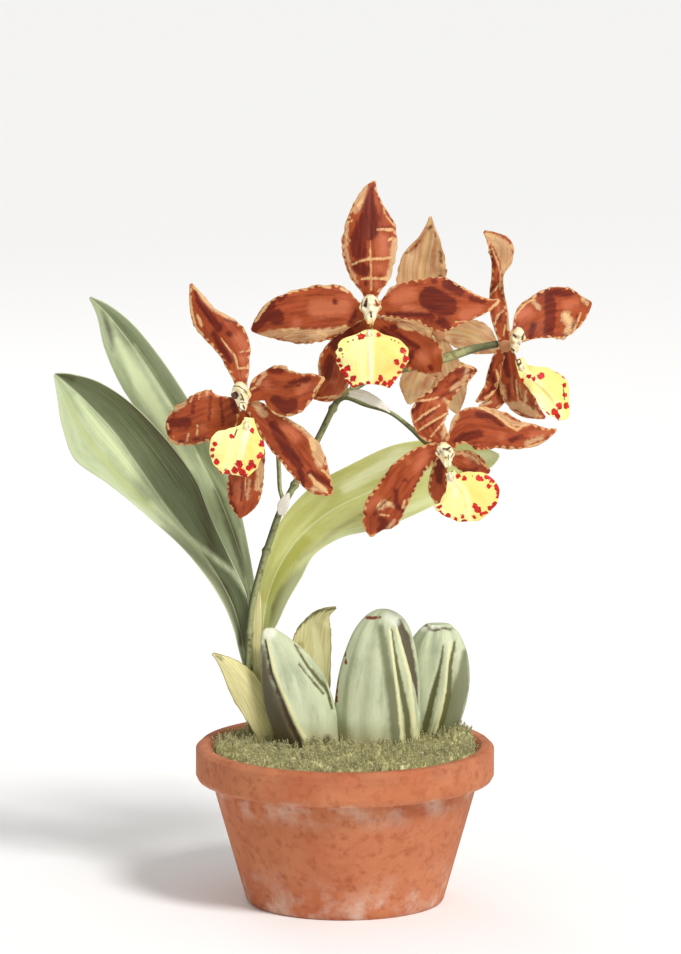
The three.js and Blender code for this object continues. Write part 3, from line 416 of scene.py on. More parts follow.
def addBlade(heap, stations, changes, seed=1, strokes=None, turned=False, **extra):
    form = {**bladeForm, **changes}
    sheet = bladeSheet(stations, form, seed)
    middle = seen(sheet["across"], sheet["rise"], sheet["depth"])
    alongStep = np.gradient(middle, axis=0)
    overStep = np.gradient(middle, axis=1)
    normal = np.cross(overStep, alongStep)
    normal /= np.maximum(np.linalg.norm(normal, axis=2, keepdims=True), 1e-9)
    t, u = sheet["t"], sheet["u"]
    half = form["thickness"] / 2 * np.sqrt(np.clip(1 - np.abs(u) ** 6, 0, 1))
    half = half * np.sqrt(np.clip(1 - np.abs(2 * t - 1) ** 30, 0, 1))
    front = middle + normal * half[..., None]
    rear = middle - normal * half[..., None]
    facesUs = normal[..., 1].mean() < 0
    rows, columns = t.shape
    frontIndex = np.arange(rows * columns).reshape(rows, columns)
    rearIndex = frontIndex + rows * columns
    inner = np.zeros_like(frontIndex, bool)
    inner[1:-1, 1:-1] = True
    rearIndex = np.where(inner, rearIndex, frontIndex)

    def quads(index):
        corners = [index[:-1, :-1], index[:-1, 1:], index[1:, 1:], index[1:, :-1]]
        return np.stack([c.ravel() for c in corners], axis=1)

    faces = np.concatenate([quads(frontIndex), quads(rearIndex)[:, ::-1]])
    points = np.concatenate([front.reshape(-1, 3), rear.reshape(-1, 3)])
    used = np.concatenate([np.ones(rows * columns, bool), inner.ravel()])
    renumber = np.cumsum(used) - 1
    values = {"t": t, "u": u, "along": sheet["along"], "over": sheet["over"], "rim": sheet["rim"]}
    values = {key: np.concatenate([v.ravel(), v.ravel()]) for key, v in values.items()}
    towards = np.repeat([facesUs, not facesUs], rows * columns)
    values["rear"] = (towards == turned).astype(float)
    for layer in paintLayers:
        off = strokeDistance(sheet["across"], sheet["rise"], (strokes or {}).get(layer, []))
        values[layer] = np.where(towards, np.concatenate([off.ravel(), off.ravel()]), farOff)
    values = {key: v[used] for key, v in values.items()}
    heap.add(points[used], renumber[faces], **values, **extra)


# Pot
potPlan = {
    "height": 80, "footRadius": 50, "rimRadius": 75, "rimHeight": 18, "rimProud": 3, "wall": 5, "floor": 7,
    "holeRadius": 5, "holeCircle": 26, "holes": 3, "sides": 160, "stepMm": 2.5, "bevel": 0.9,
}


def innerRadius(height):
    plan = potPlan
    slope = (plan["rimRadius"] - plan["rimProud"] - plan["footRadius"]) / plan["height"]
    return plan["footRadius"] + slope * height - plan["wall"]


def terracotta():
    material, tree, shader = newMaterial("terracotta")
    place3 = onPiece(tree)
    z = addNode(tree, "ShaderNodeSeparateXYZ", None, {0: place3}).outputs[2]
    warm = blend(tree, patches(tree, 28.0), "#B4643E", "#C47B52")
    warm = blend(tree, patches(tree, 210.0, 0.5, 0.75), warm, "#A4552F")
    # thrower's rings: noise that only changes with height
    rings = cloudy(tree, combined(tree, 0.0, 0.0, times(tree, z, 420.0)), 1.0, 3.0)
    warm = blend(tree, span(tree, rings, 0.55, 0.8, 0.0, 0.35), warm, "#CF9470")
    # lime bloom, strongest under the rim and at the foot
    low = span(tree, z, 0.03, 0.0)
    under = span(tree, z, 0.045, 0.062)
    under = times(tree, under, span(tree, z, 0.066, 0.062))
    bloomPlace = maths(tree, "MAXIMUM", low, under)
    bloom = times(tree, bloomPlace, patches(tree, 75.0, 0.45, 0.7))
    warm = coat(tree, warm, bloom, 0.55, "#E2D3C2")
    # damp clay where the moss meets the wall
    damp = times(tree, span(tree, z, 0.070, 0.079), patches(tree, 60.0, 0.4, 0.7))
    warm = coat(tree, warm, damp, 0.35, "#7C4A33")
    grit = cloudy(tree, place3, 1800.0, 3.0, 0.7)
    warm = blend(tree, span(tree, grit, 0.62, 0.7, 0.0, 0.5), warm, "#8F4A2C")
    height = maths(tree, "ADD", times(tree, rings, 0.6), times(tree, grit, 0.4))
    relief(tree, shader, height, 0.0006, 0.7)
    finish(tree, shader, warm, span(tree, grit, 0.2, 0.8, 0.78, 0.95))
    return material


def makePot():
    plan = potPlan
    top, floor, rim, foot = plan["height"], plan["floor"], plan["rimRadius"], plan["footRadius"]
    bodyTop = top - plan["rimHeight"]
    outline = [
        (0.01, 0), (foot - 1.5, 0), (foot, 1.5),
        (innerRadius(bodyTop) + plan["wall"], bodyTop), (rim - 1, bodyTop + 1), (rim, bodyTop + 3),
        (rim, top - 2), (rim - 2, top), (innerRadius(top) + 2, top), (innerRadius(top), top - 2),
        (innerRadius(floor + 3), floor + 3), (innerRadius(floor) - 3, floor), (0.01, floor),
    ]
    # the outline is filled in with more points, so that no face is long
    fine = []
    for (x0, z0), (x1, z1) in zip(outline[:-1], outline[1:]):
        steps = max(1, round(math.hypot(x1 - x0, z1 - z0) / plan["stepMm"]))
        fine += [(x0 + (x1 - x0) * k / steps, z0 + (z1 - z0) * k / steps) for k in range(steps)]
    fine.append(outline[-1])
    fine = np.array(fine)
    turn = np.linspace(0, 2 * math.pi, plan["sides"], endpoint=False)
    radius, height = fine[:, :1], fine[:, 1:] * np.ones_like(turn)
    heap = Heap()
    addSkin(heap, np.stack([radius * np.cos(turn), radius * np.sin(turn), height], axis=-1))
    piece = heap.make("terracottaPan", [terracotta()])
    cutters = Heap()
    for k in range(plan["holes"]):
        angle = 2 * math.pi * k / plan["holes"] + math.pi / 6
        centre = plan["holeCircle"] * np.array([math.cos(angle), math.sin(angle)])
        ring = centre + plan["holeRadius"] * np.stack([np.cos(turn[::4]), np.sin(turn[::4])], axis=-1)
        levels = [np.concatenate([ring, np.full((len(ring), 1), z)], axis=1) for z in (-4.0, floor + 4.0)]
        addSkin(cutters, np.stack(levels))
    cutter = cutters.make("drainCutter", [])
    drain = piece.modifiers.new("drain", "BOOLEAN")
    drain.object = cutter
    drain.solver = "EXACT"
    bevel = piece.modifiers.new("soften", "BEVEL")
    bevel.width = plan["bevel"] * metresPerMm
    bevel.segments = 2
    bevel.limit_method = "ANGLE"
    bevel.angle_limit = math.radians(35)
    baked = bpy.data.meshes.new_from_object(piece.evaluated_get(bpy.context.evaluated_depsgraph_get()))
    piece.modifiers.clear()
    piece.data = baked
    baked.shade_smooth()
    bpy.data.objects.remove(cutter)
    sharpen(piece, 40)
    settle(piece, "terracotta", "pot")


def sharpen(piece, degrees):
    # keeps edges crisp where faces meet at more than this angle
    work = bmesh.new()
    work.from_mesh(piece.data)
    for edge in work.edges:
        edge.smooth = not (edge.is_manifold and edge.calc_face_angle(0) > math.radians(degrees))
    work.to_mesh(piece.data)
    work.free()


makePot()
print("pot made")


# Compost and rhizome stay as solids, and get their finishes on them
def barkFinish():
    material, tree, shader = newMaterial("barkChips")
    values = {"Vector": onPiece(tree), "Scale": 130.0}
    cells = addNode(tree, "ShaderNodeTexVoronoi", {"feature": "F1"}, values)
    shade = addNode(tree, "ShaderNodeSeparateColor", None, {0: cells.outputs["Color"]}).outputs[0]
    colour = blend(tree, shade, "#3E2A1C", "#7A5636")
    relief(tree, shader, cells.outputs["Distance"], 0.002)
    finish(tree, shader, colour, 0.95)
    return material


def rootFinish():
    material, tree, shader = newMaterial("rhizomeSkin")
    colour = blend(tree, patches(tree, 160.0), "#6F5A34", "#A89A62")
    relief(tree, shader, cloudy(tree, onPiece(tree), 700.0), 0.0005)
    finish(tree, shader, colour, 0.8)
    return material


def dress(node, material):
    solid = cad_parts[node]
    for slot in solid.material_slots:
        slot.material = material


dress("compost", barkFinish())
dress("rhizome", rootFinish())
print("compost and rhizome dressed")


# Moss: a relief surface with a sprig of it repeated all over
mossPlan = {
    "bottom": 60.3, "atRim": 77, "crown": 81.5, "sides": 220, "rings": 90, "relief": 2.0,
    "sprigHeight": 5, "leaflets": 7, "perSquareMetre": 205000.0, "smallest": 0.55, "largest": 1.15,
    "lean": 0.5, "seed": 7, "gap": 0.3,
}


def mossHeight(x, y):
    out = np.hypot(x, y) / innerRadius(potPlan["height"])
    mound = mossPlan["crown"] - (mossPlan["crown"] - mossPlan["atRim"]) * out * out
    cushions = 0.7 * np.sin(x / 6 + 1) * np.cos(y / 5) + 0.5 * np.sin(x / 3.5 - y / 4)
    heap = 7 * np.exp(-((x - 57) ** 2 + (y - 12) ** 2) / 90) + 3 * np.exp(-((x + 55) ** 2 + y ** 2) / 120)
    return mound + cushions + heap


def mossFinish():
    material, tree, shader = newMaterial("mossGreen")
    colour = blend(tree, patches(tree, 45.0), "#D8CF86", "#F0E8AC")
    colour = blend(tree, patches(tree, 260.0, 0.45, 0.6), colour, "#B6B470")
    colour = blend(tree, patches(tree, 600.0, 0.55, 0.7), colour, "#F2EECB")
    colour = coat(tree, colour, fromMesh(tree, "tip"), 0.7, "#F7F1C4")
    relief(tree, shader, cloudy(tree, onPiece(tree), 1500.0, 4.0, 0.7), 0.0008)
    finish(tree, shader, colour, 0.95)
    return material


def makeSprig():
    # a short stem with leaflets, each a thin four-faced sliver
    heap = Heap()
    height = mossPlan["sprigHeight"]

    def sliver(foot, tipPoint, width, tipFrom, tipTo):
        foot, tipPoint = np.array(foot, float), np.array(tipPoint, float)
        along = tipPoint - foot
        side = np.cross(along, [0, 0, 1.0])
        side = side / np.linalg.norm(side) * width / 2
        lift = np.cross(side, along)
        lift = lift / np.linalg.norm(lift) * width * 0.35
        points = [foot - side, foot + side, foot + lift, tipPoint]
        faces = [[0, 1, 2], [0, 3, 1], [1, 3, 2], [2, 3, 0]]
        heap.add(points, faces, tip=np.array([tipFrom, tipFrom, tipFrom, tipTo]))

    sliver((0, 0, -1.5), (0.2, 0.1, height), 0.5, 0.0, 1.0)
    for k in range(mossPlan["leaflets"]):
        share = 0.25 + 0.7 * k / mossPlan["leaflets"]
        angle = 2.4 * k
        reach = 1.9 * (1.15 - share)
        foot = (0, 0, height * share)
        tipPoint = (reach * math.cos(angle), reach * math.sin(angle), height * share + 1.0)
        sliver(foot, tipPoint, 0.7, share * 0.4, share)
    return heap.make("mossSprig", [])


def tuftTree(material):
    # sprigs spread over the points where "grows" is set, joined to the surface that they stand on
    tree = bpy.data.node_groups.new("mossTufts", "GeometryNodeTree")
    inputs = {"Geometry": "Geometry", "Sprig": "Object", "Density": "Float", "Smallest": "Float",
              "Largest": "Float", "Lean": "Float", "Seed": "Int"}
    for title, kind in inputs.items():
        tree.interface.new_socket(title, in_out="INPUT", socket_type="NodeSocket" + kind)
    tree.interface.new_socket("Geometry", in_out="OUTPUT", socket_type="NodeSocketGeometry")
    given = tree.nodes.new("NodeGroupInput").outputs
    end = tree.nodes.new("NodeGroupOutput").inputs
    named = addNode(tree, "GeometryNodeInputNamedAttribute", {"data_type": "FLOAT"}, {"Name": "grows"})
    density = times(tree, named.outputs["Attribute"], given["Density"])
    spread = addNode(tree, "GeometryNodeDistributePointsOnFaces", {"distribute_method": "RANDOM"},
                     {"Mesh": given["Geometry"], "Density": density, "Seed": given["Seed"]})
    shape = addNode(tree, "GeometryNodeObjectInfo", None, {"Object": given["Sprig"]}).outputs["Geometry"]
    size = addNode(tree, "FunctionNodeRandomValue", {"data_type": "FLOAT"},
                   {2: given["Smallest"], 3: given["Largest"], "Seed": given["Seed"]}).outputs[1]
    lean = times(tree, given["Lean"], -1.0)
    low = combined(tree, lean, lean, -3.14)
    high = combined(tree, given["Lean"], given["Lean"], 3.14)
    turn = addNode(tree, "FunctionNodeRandomValue", {"data_type": "FLOAT_VECTOR"},
                   {0: low, 1: high, "Seed": given["Seed"]}).outputs[0]
    stand = addNode(tree, "GeometryNodeInstanceOnPoints", None,
                    {"Points": spread.outputs["Points"], "Instance": shape, "Rotation": turn, "Scale": size})
    real = addNode(tree, "GeometryNodeRealizeInstances", None, {0: stand.outputs[0]})
    joined = tree.nodes.new("GeometryNodeJoinGeometry")
    tree.links.new(real.outputs[0], joined.inputs[0])
    tree.links.new(given["Geometry"], joined.inputs[0])
    values = {"Geometry": joined.outputs[0], "Material": material}
    tree.links.new(addNode(tree, "GeometryNodeSetMaterial", None, values).outputs[0], end[0])
    return tree


def grown(piece, tree, **inputs):
    # runs a Geometry Nodes tree on a piece and keeps the result as a plain mesh
    modifier = piece.modifiers.new(tree.name, "NODES")
    modifier.node_group = tree
    for item in tree.interface.items_tree:
        if item.item_type == "SOCKET" and item.in_out == "INPUT" and item.name in inputs:
            modifier[item.identifier] = inputs[item.name]
    bpy.context.view_layer.update()
    result = bpy.data.meshes.new_from_object(piece.evaluated_get(bpy.context.evaluated_depsgraph_get()))
    piece.modifiers.clear()
    piece.data = result


def makeMoss(footprints):
    plan = mossPlan
    turn = np.linspace(0, 2 * math.pi, plan["sides"], endpoint=False)[None, :]
    wallTop = plan["atRim"] - 3
    wall = innerRadius(wallTop) - plan["gap"]
    radii = [innerRadius(plan["bottom"]) - plan["gap"], wall]
    radii += list(wall * np.linspace(0.995, 0.01, plan["rings"]))
    radii = np.array(radii)[:, None]
    x, y = radii * np.cos(turn), radii * np.sin(turn)
    z = mossHeight(x, y)
    fine = [noise.fractal(Vector((a / 5, b / 5, 3.0)), 0.8, 2.1, 4) for a, b in zip(x.ravel(), y.ravel())]
    z = z + plan["relief"] * np.array(fine).reshape(z.shape)
    z[0] = plan["bottom"]
    z[1] = wallTop
    grows = np.ones_like(z)
    grows[:2] = 0
    for across, depth, wide, deep in footprints:
        grows[((x - across) / wide) ** 2 + ((y - depth) / deep) ** 2 < 1] = 0
    heap = Heap()
    addSkin(heap, np.stack([x, y, z], axis=-1), grows=grows, tip=0.0)
    piece = heap.make("mossCushion", [])
    sprig = makeSprig()
    grown(piece, tuftTree(mossFinish()), Sprig=sprig, Density=plan["perSquareMetre"],
          Smallest=plan["smallest"], Largest=plan["largest"], Lean=plan["lean"], Seed=plan["seed"])
    bpy.data.objects.remove(sprig)
    settle(piece, "moss", "moss")
    print("moss made:", len(piece.data.polygons), "faces")


# Pseudobulbs: levels are [rise, centre across, half width], bottom first
bulbs = [
    {
        "depth": -7, "flatness": 0.62,
        "levels": [[-8, -17, 7], [-5, -17.3, 10.5], [0, -18, 14.5], [8, -20.6, 16.6], [17, -22.5, 17.8],
            [27, -24.6, 17.2], [36, -27, 15.6], [45, -30.5, 12.2], [52, -34, 8], [57, -37, 4],
            [58.5, -37.6, 1.6]],
        "edge": {"from": 98, "turnPerMm": 0.8, "height": 0.16}, "ribs": {"height": 0.015, "count": 7},
    },
    {
        "depth": 1, "flatness": 0.68,
        "levels": [[-8, 15.5, 9], [-5, 15.5, 14.5], [0, 16.2, 20], [8, 16, 21.2], [16, 15.9, 21.4],
            [27, 16.4, 20.8], [37, 17, 19.6], [47, 17.8, 17.4], [56, 18.6, 14.4], [62.5, 19.2, 10.5],
            [66, 19.3, 6.5], [67.6, 19.2, 3]],
        "edge": {"from": 60, "turnPerMm": 0.25, "height": 0.07}, "ribs": {"height": 0.035, "count": 11},
    },
    {
        "depth": 17, "flatness": 0.62,
        "levels": [[-8, 41, 6.5], [-4, 41.4, 9], [2, 42.5, 11.5], [10, 44, 13.6], [20, 45.2, 15.6],
            [32, 46, 16.4], [43, 46, 15.6], [51, 46.2, 13], [56.5, 46.6, 9.6], [60, 46.8, 6]],
        "edge": {"from": 75, "turnPerMm": 0.3, "height": 0.06}, "ribs": {"height": 0.04, "count": 9},
    },
]
youngBulb = {
    "depth": 10.5, "flatness": 0.85,
    "levels": [[-8, -39, 3.5], [-5, -39.5, 5], [3, -41, 6.2], [15, -44.5, 6.3], [27, -47.5, 5],
        [35, -49, 2.8], [38, -49.3, 1]],
    "edge": {"from": 90, "turnPerMm": 0, "height": 0.05}, "ribs": {"height": 0, "count": 5},
}
bulbForm = {
    "sides": 168, "rows": 112, "edgeWidth": 22, "creases": 40, "creaseDepth": 0.007,
    "groove": (-1.2, 0.8), "ridge": (0.5, 0.6),  # how far each stands out, and how far to its side it reaches
}
# shade, groove and crease are painted shade, ridge is a painted highlight, and cap and torn are the skin's
# own pale collar and red-brown tunic
bulbLayers = ("shade", "crease", "ridge", "groove", "cap", "torn")
bulbPaint = [
    {
        "shade": [(-41.5, 50, 0.75, -39.5, 32.5, 3, -36.5, 22.5, 5, -31.5, 10, 6.25, -25, -5, 6.25),
            (-9, 4, 2)],
        "crease": [(-40.5, 52.5, 0.5, -37.5, 37.5, 0.8, -32.5, 25, 1, -27, 11.5, 1.1, -20, -2.5, 1.2)],
        "ridge": [(-38.5, 52.5, 0.6, -35, 38.5, 0.8, -29.5, 25, 0.9, -23.5, 11.5, 0.9, -16.5, -1.5, 0.9)],
        "groove": [(-24, 50, 0.5, -17.5, 40, 0.8, -7.5, 27.5, 1, -5.5, 18.5, 0.5),
            (-22.5, 41.5, 0.4, -10, 26.5, 0.5)],
        "cap": [(-37.5, 56.5, 3)],
    },
    {
        "shade": [(18, 60, 1.8, 21, 42, 2.2, 23.5, 28, 2.6, 26.5, 0, 3)],
        "crease": [(28, 62, 1.4, 31.5, 53, 2.4, 34.5, 41, 1.9, 37, 28, 0.8, 38.5, 17, 0.3)],
        "ridge": [(22.5, 60, 0.6, 26.5, 27.5, 0.8, 29, 0, 0.8),
            (25.5, 60, 0.5, 31.5, 37.5, 0.8, 36, 2.5, 0.9)],
        "groove": [(23.5, 59, 0.65, 26, 45, 1, 29, 30, 1.4, 31.5, 17.5, 1.5, 33, 1.5, 1.5)],
        "cap": [(21.5, 65, 2, 26.5, 62.5, 2)],
        "torn": [(11, 64, 0.6, 17.5, 64.5, 0.5), (0, 46.5, 0.5, 0.5, 41.5, 0.6), (-2, 38.5, 0.5),
            (-3.5, 34, 0.5, -4.5, 22.5, 0.7)],
    },
    {
        "shade": [(60.5, 46, 1.5, 58.5, 28, 4.5, 53, 10, 5, 48, 3, 4)],
        "crease": [(40, 58.5, 0.4, 44, 57.5, 0.5, 50, 58.5, 0.5, 55, 57.5, 0.4)],
        "ridge": [(52.5, 51.5, 0.6, 50.5, 27.5, 0.8, 45.5, 6.5, 0.9)],
        "groove": [(49.5, 50, 0.5, 48.5, 42.5, 0.75, 46, 32.5, 1.3, 43.5, 22.5, 1.7, 39, 3.5, 2),
            (56, 51.5, 0.65, 53.5, 40, 1.15, 52.5, 27.5, 1.8, 50, 17.5, 2.5, 46, 3.5, 2.5)],
        "cap": [(38.5, 59, 1.5, 47.5, 60.5, 1)], "torn": [(39.5, 59.5, 0.4, 41.5, 60, 0.3)],
    },
    {},
]


def bulbFinish():
    material, tree, shader = newMaterial("bulbSkin")
    around = fromMesh(tree, "around")
    lines = drawn(tree, times(tree, around, 12.0), 1.0, 0.03)
    fine = drawn(tree, times(tree, around, 70.0), 1.0, 0.04)
    brushed = maths(tree, "SUBTRACT", fine, 0.5)

    def stroke(layer, soft, wanderBy=0.35):
        return marked(tree, layer, wanderBy, soft, 350.0, times(tree, brushed, soft))

    colour = blend(tree, span(tree, lines, 0.35, 0.65), "#A3AC8C", "#CDD3B0")
    colour = blend(tree, patches(tree, 45.0, 0.45, 0.65), colour, "#C2C8A4")
    colour = blend(tree, span(tree, fine, 0.56, 0.7, 0.0, 0.35), colour, "#878E6C")
    colour = blend(tree, span(tree, fromMesh(tree, "along"), 16.0, 3.0, 0.0, 0.6), colour, "#A59A6C")
    # painted shade: the shade strokes darken the faces turned from the light, darkest on the first bulb, and
    # the groove and crease strokes darken the furrows; the ridge strokes are a painted highlight along the
    # ridges
    gloom = blend(tree, fromMesh(tree, "gloom"), "#6C6E4C", "#463722")
    colour = coat(tree, colour, stroke("shade", 1.4), 0.88, gloom)
    colour = coat(tree, colour, stroke("groove", 0.6), 0.95, "#57562A")
    colour = coat(tree, colour, stroke("ridge", 0.5), 0.9, "#DEDBA6")
    colour = coat(tree, colour, stroke("crease", 0.5), 0.9, "#44301A")
    colour = coat(tree, colour, stroke("cap", 1.5), 0.6, "#F2F1E0")
    colour = blend(tree, stroke("torn", 0.3, 0.7), colour, "#7A3822")
    relief(tree, shader, maths(tree, "MULTIPLY_ADD", fine, 0.5, lines), 0.0005, 0.5)
    finish(tree, shader, colour, 0.55, 0.3)
    return material


def makeBulb(name, plan, marks, material, tone):
    form = bulbForm
    v = np.linspace(0, 1, form["rows"])
    rise, centre, half = between(plan["levels"], v).T
    half = np.maximum(half, 0.4)
    turn = np.linspace(0, 360, form["sides"], endpoint=False)[None, :]
    rise2, centre2, half2 = rise[:, None], centre[:, None], half[:, None]
    fromEdge = (turn - plan["edge"]["from"] - plan["edge"]["turnPerMm"] * rise2 + 540) % 360 - 180
    sharp = plan["edge"]["height"] * np.exp(-(fromEdge / form["edgeWidth"]) ** 2)
    rib = plan["ribs"]["height"] * np.cos(np.radians(turn * plan["ribs"]["count"]))
    reach = half2 * (1 + sharp + rib)
    angle = np.radians(turn)
    across = centre2 + reach * np.cos(angle)
    facing = np.sin(angle) > -0.05
    layers = {}
    for layer in bulbLayers:
        off = strokeDistance(across, rise2 + 0 * turn, marks.get(layer, []))
        layers[layer] = np.where(facing, off, farOff)
    # fine creases that run up the bulb, and the drawn grooves
    reach = reach * (1 + form["creaseDepth"] * wander(tone, form["creases"], turn / 360))
    carved = np.minimum(layers["groove"], layers["crease"] + 0.2)
    for off, (height, width) in ((carved, form["groove"]), (layers["ridge"], form["ridge"])):
        reach = reach + height * np.exp(-(np.clip(off, 0, None) / width) ** 2)
    points = seen(centre2 + reach * np.cos(angle), rise2, plan["depth"])
    points = points + np.stack([0 * reach, -reach * plan["flatness"] * np.sin(angle), 0 * reach], axis=-1)
    heap = Heap()
    addSkin(heap, points, along=rise2 + 0 * turn, around=turn / 360 + 0 * rise2, tone=float(tone),
            gloom=float(tone == 1), **layers)
    settle(heap.make(pieceName(name), [material]), "pseudobulb", name)


bulbSkin = bulbFinish()
for k, plan in enumerate([*bulbs, youngBulb]):
    name = f"pseudobulb_{k + 1}" if k < 3 else "young_bulb"
    makeBulb(name, plan, bulbPaint[k], bulbSkin, k + 1)
print("bulbs made")

# no sprigs grow where a bulb stands
footprints = []
for plan in bulbs:
    _, centre, half = plan["levels"][2]
    footprints.append((centre, plan["depth"], half * 0.85, half * 0.5))
makeMoss(footprints)


# Sheaths and leaves of the new growth, and one old sheath
sheaths = {
    "sheath_outer": [[-37.5, -5, -1, 4, 3.5, 0, 1], [-40.5, 6, -3, 5, 5, 0, 2],
        [-45, 16.5, -4, 6.5, 7, 0, 4], [-51, 27.5, -4.5, 7, 9.5, 0, 5], [-57.5, 37, -5, 4.5, 6.5, 0, 3],
        [-63, 43, -5.5, 2, 2.5], [-66.5, 45.5, -6, 0.7, 0.7]],
    "sheath_inner": [[-43.5, 24, 5, 3.4, 3.2], [-43.5, 40, 5, 3, 2.8], [-44, 50, 5, 2.8, 2.8],
        [-44, 62, 5, 2.6, 2.6], [-43.8, 74, 5, 2, 2], [-43.5, 85, 4.5, 0.7, 0.7]],
    "sheath_old": [[-17.5, -5, 9, 7, 6, -1, -1], [-16.8, 18, 9.5, 10, 8.3, -2, -1],
        [-15.3, 38, 10, 11.5, 8.3, -3, -2], [-14.2, 53, 10, 11.5, 7.3, -3, -2],
        [-13, 61, 9.5, 7, 6, -2, -1], [-10, 66, 9, 2.6, 3.4], [-4.5, 68.5, 8, 0.7, 0.7]],
}
leaves = {
    "leaf_1": [[-48, 35, 6.5, 2, 2.5, -1, -1], [-51, 47, 7, 2.4, 3, -1, -1], [-53, 58, 6.5, 3, 5, -3, -2],
        [-57, 71, 6.5, 4, 8.5, -4, -4], [-65, 86, 7, 5, 10, -5, -6], [-77, 103, 7.5, 6.5, 14, -6, -8],
        [-90, 119.5, 6.5, 10, 20, -9, -8], [-103, 138.5, 4, 16.5, 20, -13, -6],
        [-116, 157, -2, 23.5, 17, -15, -6], [-129, 171.5, -12, 16.5, 12.5, -10, -5],
        [-138.5, 180.5, -20, 7, 6, -4, -2], [-144, 185, -25, 0.8, 0.8]],
    "leaf_2": [[-45.5, 36, 14.5, 2, 2, -1, -1], [-47.5, 54, 12, 2.6, 2.6, -1, -1],
        [-48, 72, 12.5, 4, 3.5, -2, -1], [-52, 93, 16, 7, 4.5, -4, -2], [-61.5, 120, 21, 11, 8, -7, -4],
        [-73.5, 145, 27, 14, 10, -8, -6], [-86.5, 169.5, 33, 16, 8.5, -8, -6],
        [-99, 189, 38, 16.5, 8, -8, -5], [-111.5, 206, 42, 12, 7, -6, -4], [-121, 217.5, 45, 5, 4, -2, -2],
        [-128.5, 224.5, 47, 0.7, 0.7]],
    "leaf_3": [[-43, 38, 14, 2, 2, -1, -1], [-42, 50, 13, 2.4, 2.8, -1, -1],
        [-41, 62, 13.5, 3, 7.5, -1, -2], [-38.5, 75, 15, 5, 10.5, -2, -4],
        [-33, 89, 17, 8.5, 12.5, -3, -5.5], [-23.5, 103, 20, 12.5, 11.5, -4, -6],
        [-8.5, 116, 24, 15.5, 14.5, -5, -9], [10, 125.5, 27, 16.5, 19, -5, -11],
        [30, 133, 28, 18, 18.5, -5, -10], [48, 139, 27, 14.5, 15.5, -4, -7],
        [63, 142.5, 24, 8.5, 9.5, -2, -4], [73, 144, 20, 4, 5, 0, -1], [77.5, 144.8, 17, 0.8, 0.8]],
}
sheathMarks = {
    "sheath_outer": {"dark": [(-64.5, 44.5, 0.4, -61.5, 42.5, 0.5)]},
    "sheath_old": {
        "dark": [(-27, 54, 0.6, -21.5, 60.5, 0.8, -14.5, 66.5, 0.9, -4, 68.5, 0.6)],
        "pale": [(-16.5, 61.5, 1, -13.5, 47.5, 2, -11.5, 27.5, 1.5)],
        "tan": [(-22.5, 50, 1.5, -21, 32.5, 1.5)],
    },
}
# on the leaves, light and pale strokes are painted highlights where a leaf turns to the light, dark strokes
# are painted shade along the margins turned away together with the darker underside strip, and tan is the
# warmer tone of the lower leaf
leafMarks = {
    "leaf_1": {
        "light": [(-133.5, 173.5, 1, -122.5, 157.5, 2.5, -110, 141.5, 2.5, -98.5, 126.5, 0.5)],
        "tan": [(-139.5, 173.5, 0.75, -130, 155, 1.25, -112.5, 132.5, 1.25, -97.5, 118.5, 1)],
        "dark": [(-143.5, 185.5, 0.75, -135.5, 183, 1.5),
            (-115, 178.5, 0.75, -90, 152.5, 2, -75, 137.5, 2.5, -69.5, 115, 2, -65.5, 95, 1.5),
            (-92, 108, 1, -78, 94, 3.5, -62, 76, 4.5, -53, 52, 3)],
        "pale": [(-97.5, 121, 0.5, -83.5, 107.5, 0.9, -68.5, 96, 1, -56, 86.5, 0.8, -48.5, 75, 0.5)],
    },
    "leaf_2": {
        "light": [(-115, 203, 0.8, -108, 190, 2.5, -102.5, 180, 4, -93.5, 165, 3, -77.5, 137.5, 1)],
        "dark": [(-122, 217, 0.5, -119, 208, 1.6, -117, 198, 0.3),
            (-116.5, 211.5, 0.3, -102.5, 192.5, 0.35, -90, 175, 0.3),
            (-65.5, 127.5, 1, -55.5, 102.5, 2, -50, 85, 1.5)],
        "pale": [(-106, 200, 0.5, -96.5, 185, 0.9, -84.5, 166.5, 0.5), (-73.5, 145, 0.4, -59.5, 125, 0.4),
            (-52.5, 107.5, 0.5, -48, 77.5, 0.5)],
    },
    "leaf_3": {
        "light": [(0, 128.5, 2.5, 27.5, 145, 3.5, 47.5, 146.5, 2), (61.5, 144.5, 2, 75.5, 144.5, 2)],
        "tan": [(-39.5, 72.5, 2, -31.5, 88.5, 3, -20, 101, 3.5)],
        "dark": [(-5, 102, 0.4, -13, 95, 0.8, -19, 88, 2.2, -24, 81.5, 4, -29.5, 73.5, 4.8, -33, 67, 4.4,
            -34.5, 58.5, 3), (-22.5, 92.5, 0.25, -2.5, 108.5, 0.3, 20, 121, 0.25)],
        "pale": [(-5, 102.5, 1, 16.5, 111, 1.75, 43.5, 122.5, 1.5)],
    },
}
sheathForm = {
    "fold": 1.6, "thickness": 0.7, "rows": 90, "columns": 30, "frill": 0.5, "notch": 0.03, "lumps": 0.4,
}
leafForm = {
    "fold": 1.2, "thickness": 1.0, "rows": 140, "columns": 32, "frill": 0.5, "frills": 9, "lumps": 0.5,
    "rib": 0.5, "ribWidth": 0.8,
}


def painted(tree, colour, lines, layers, soft=0.8):
    # lays brush marks over a colour, their edges drawn out along the lines
    bend = times(tree, maths(tree, "SUBTRACT", lines, 0.5), 3.0)
    for layer, tint in layers.items():
        colour = coat(tree, colour, marked(tree, layer, 0.3, soft, 300.0, bend), 0.85, tint)
    return colour


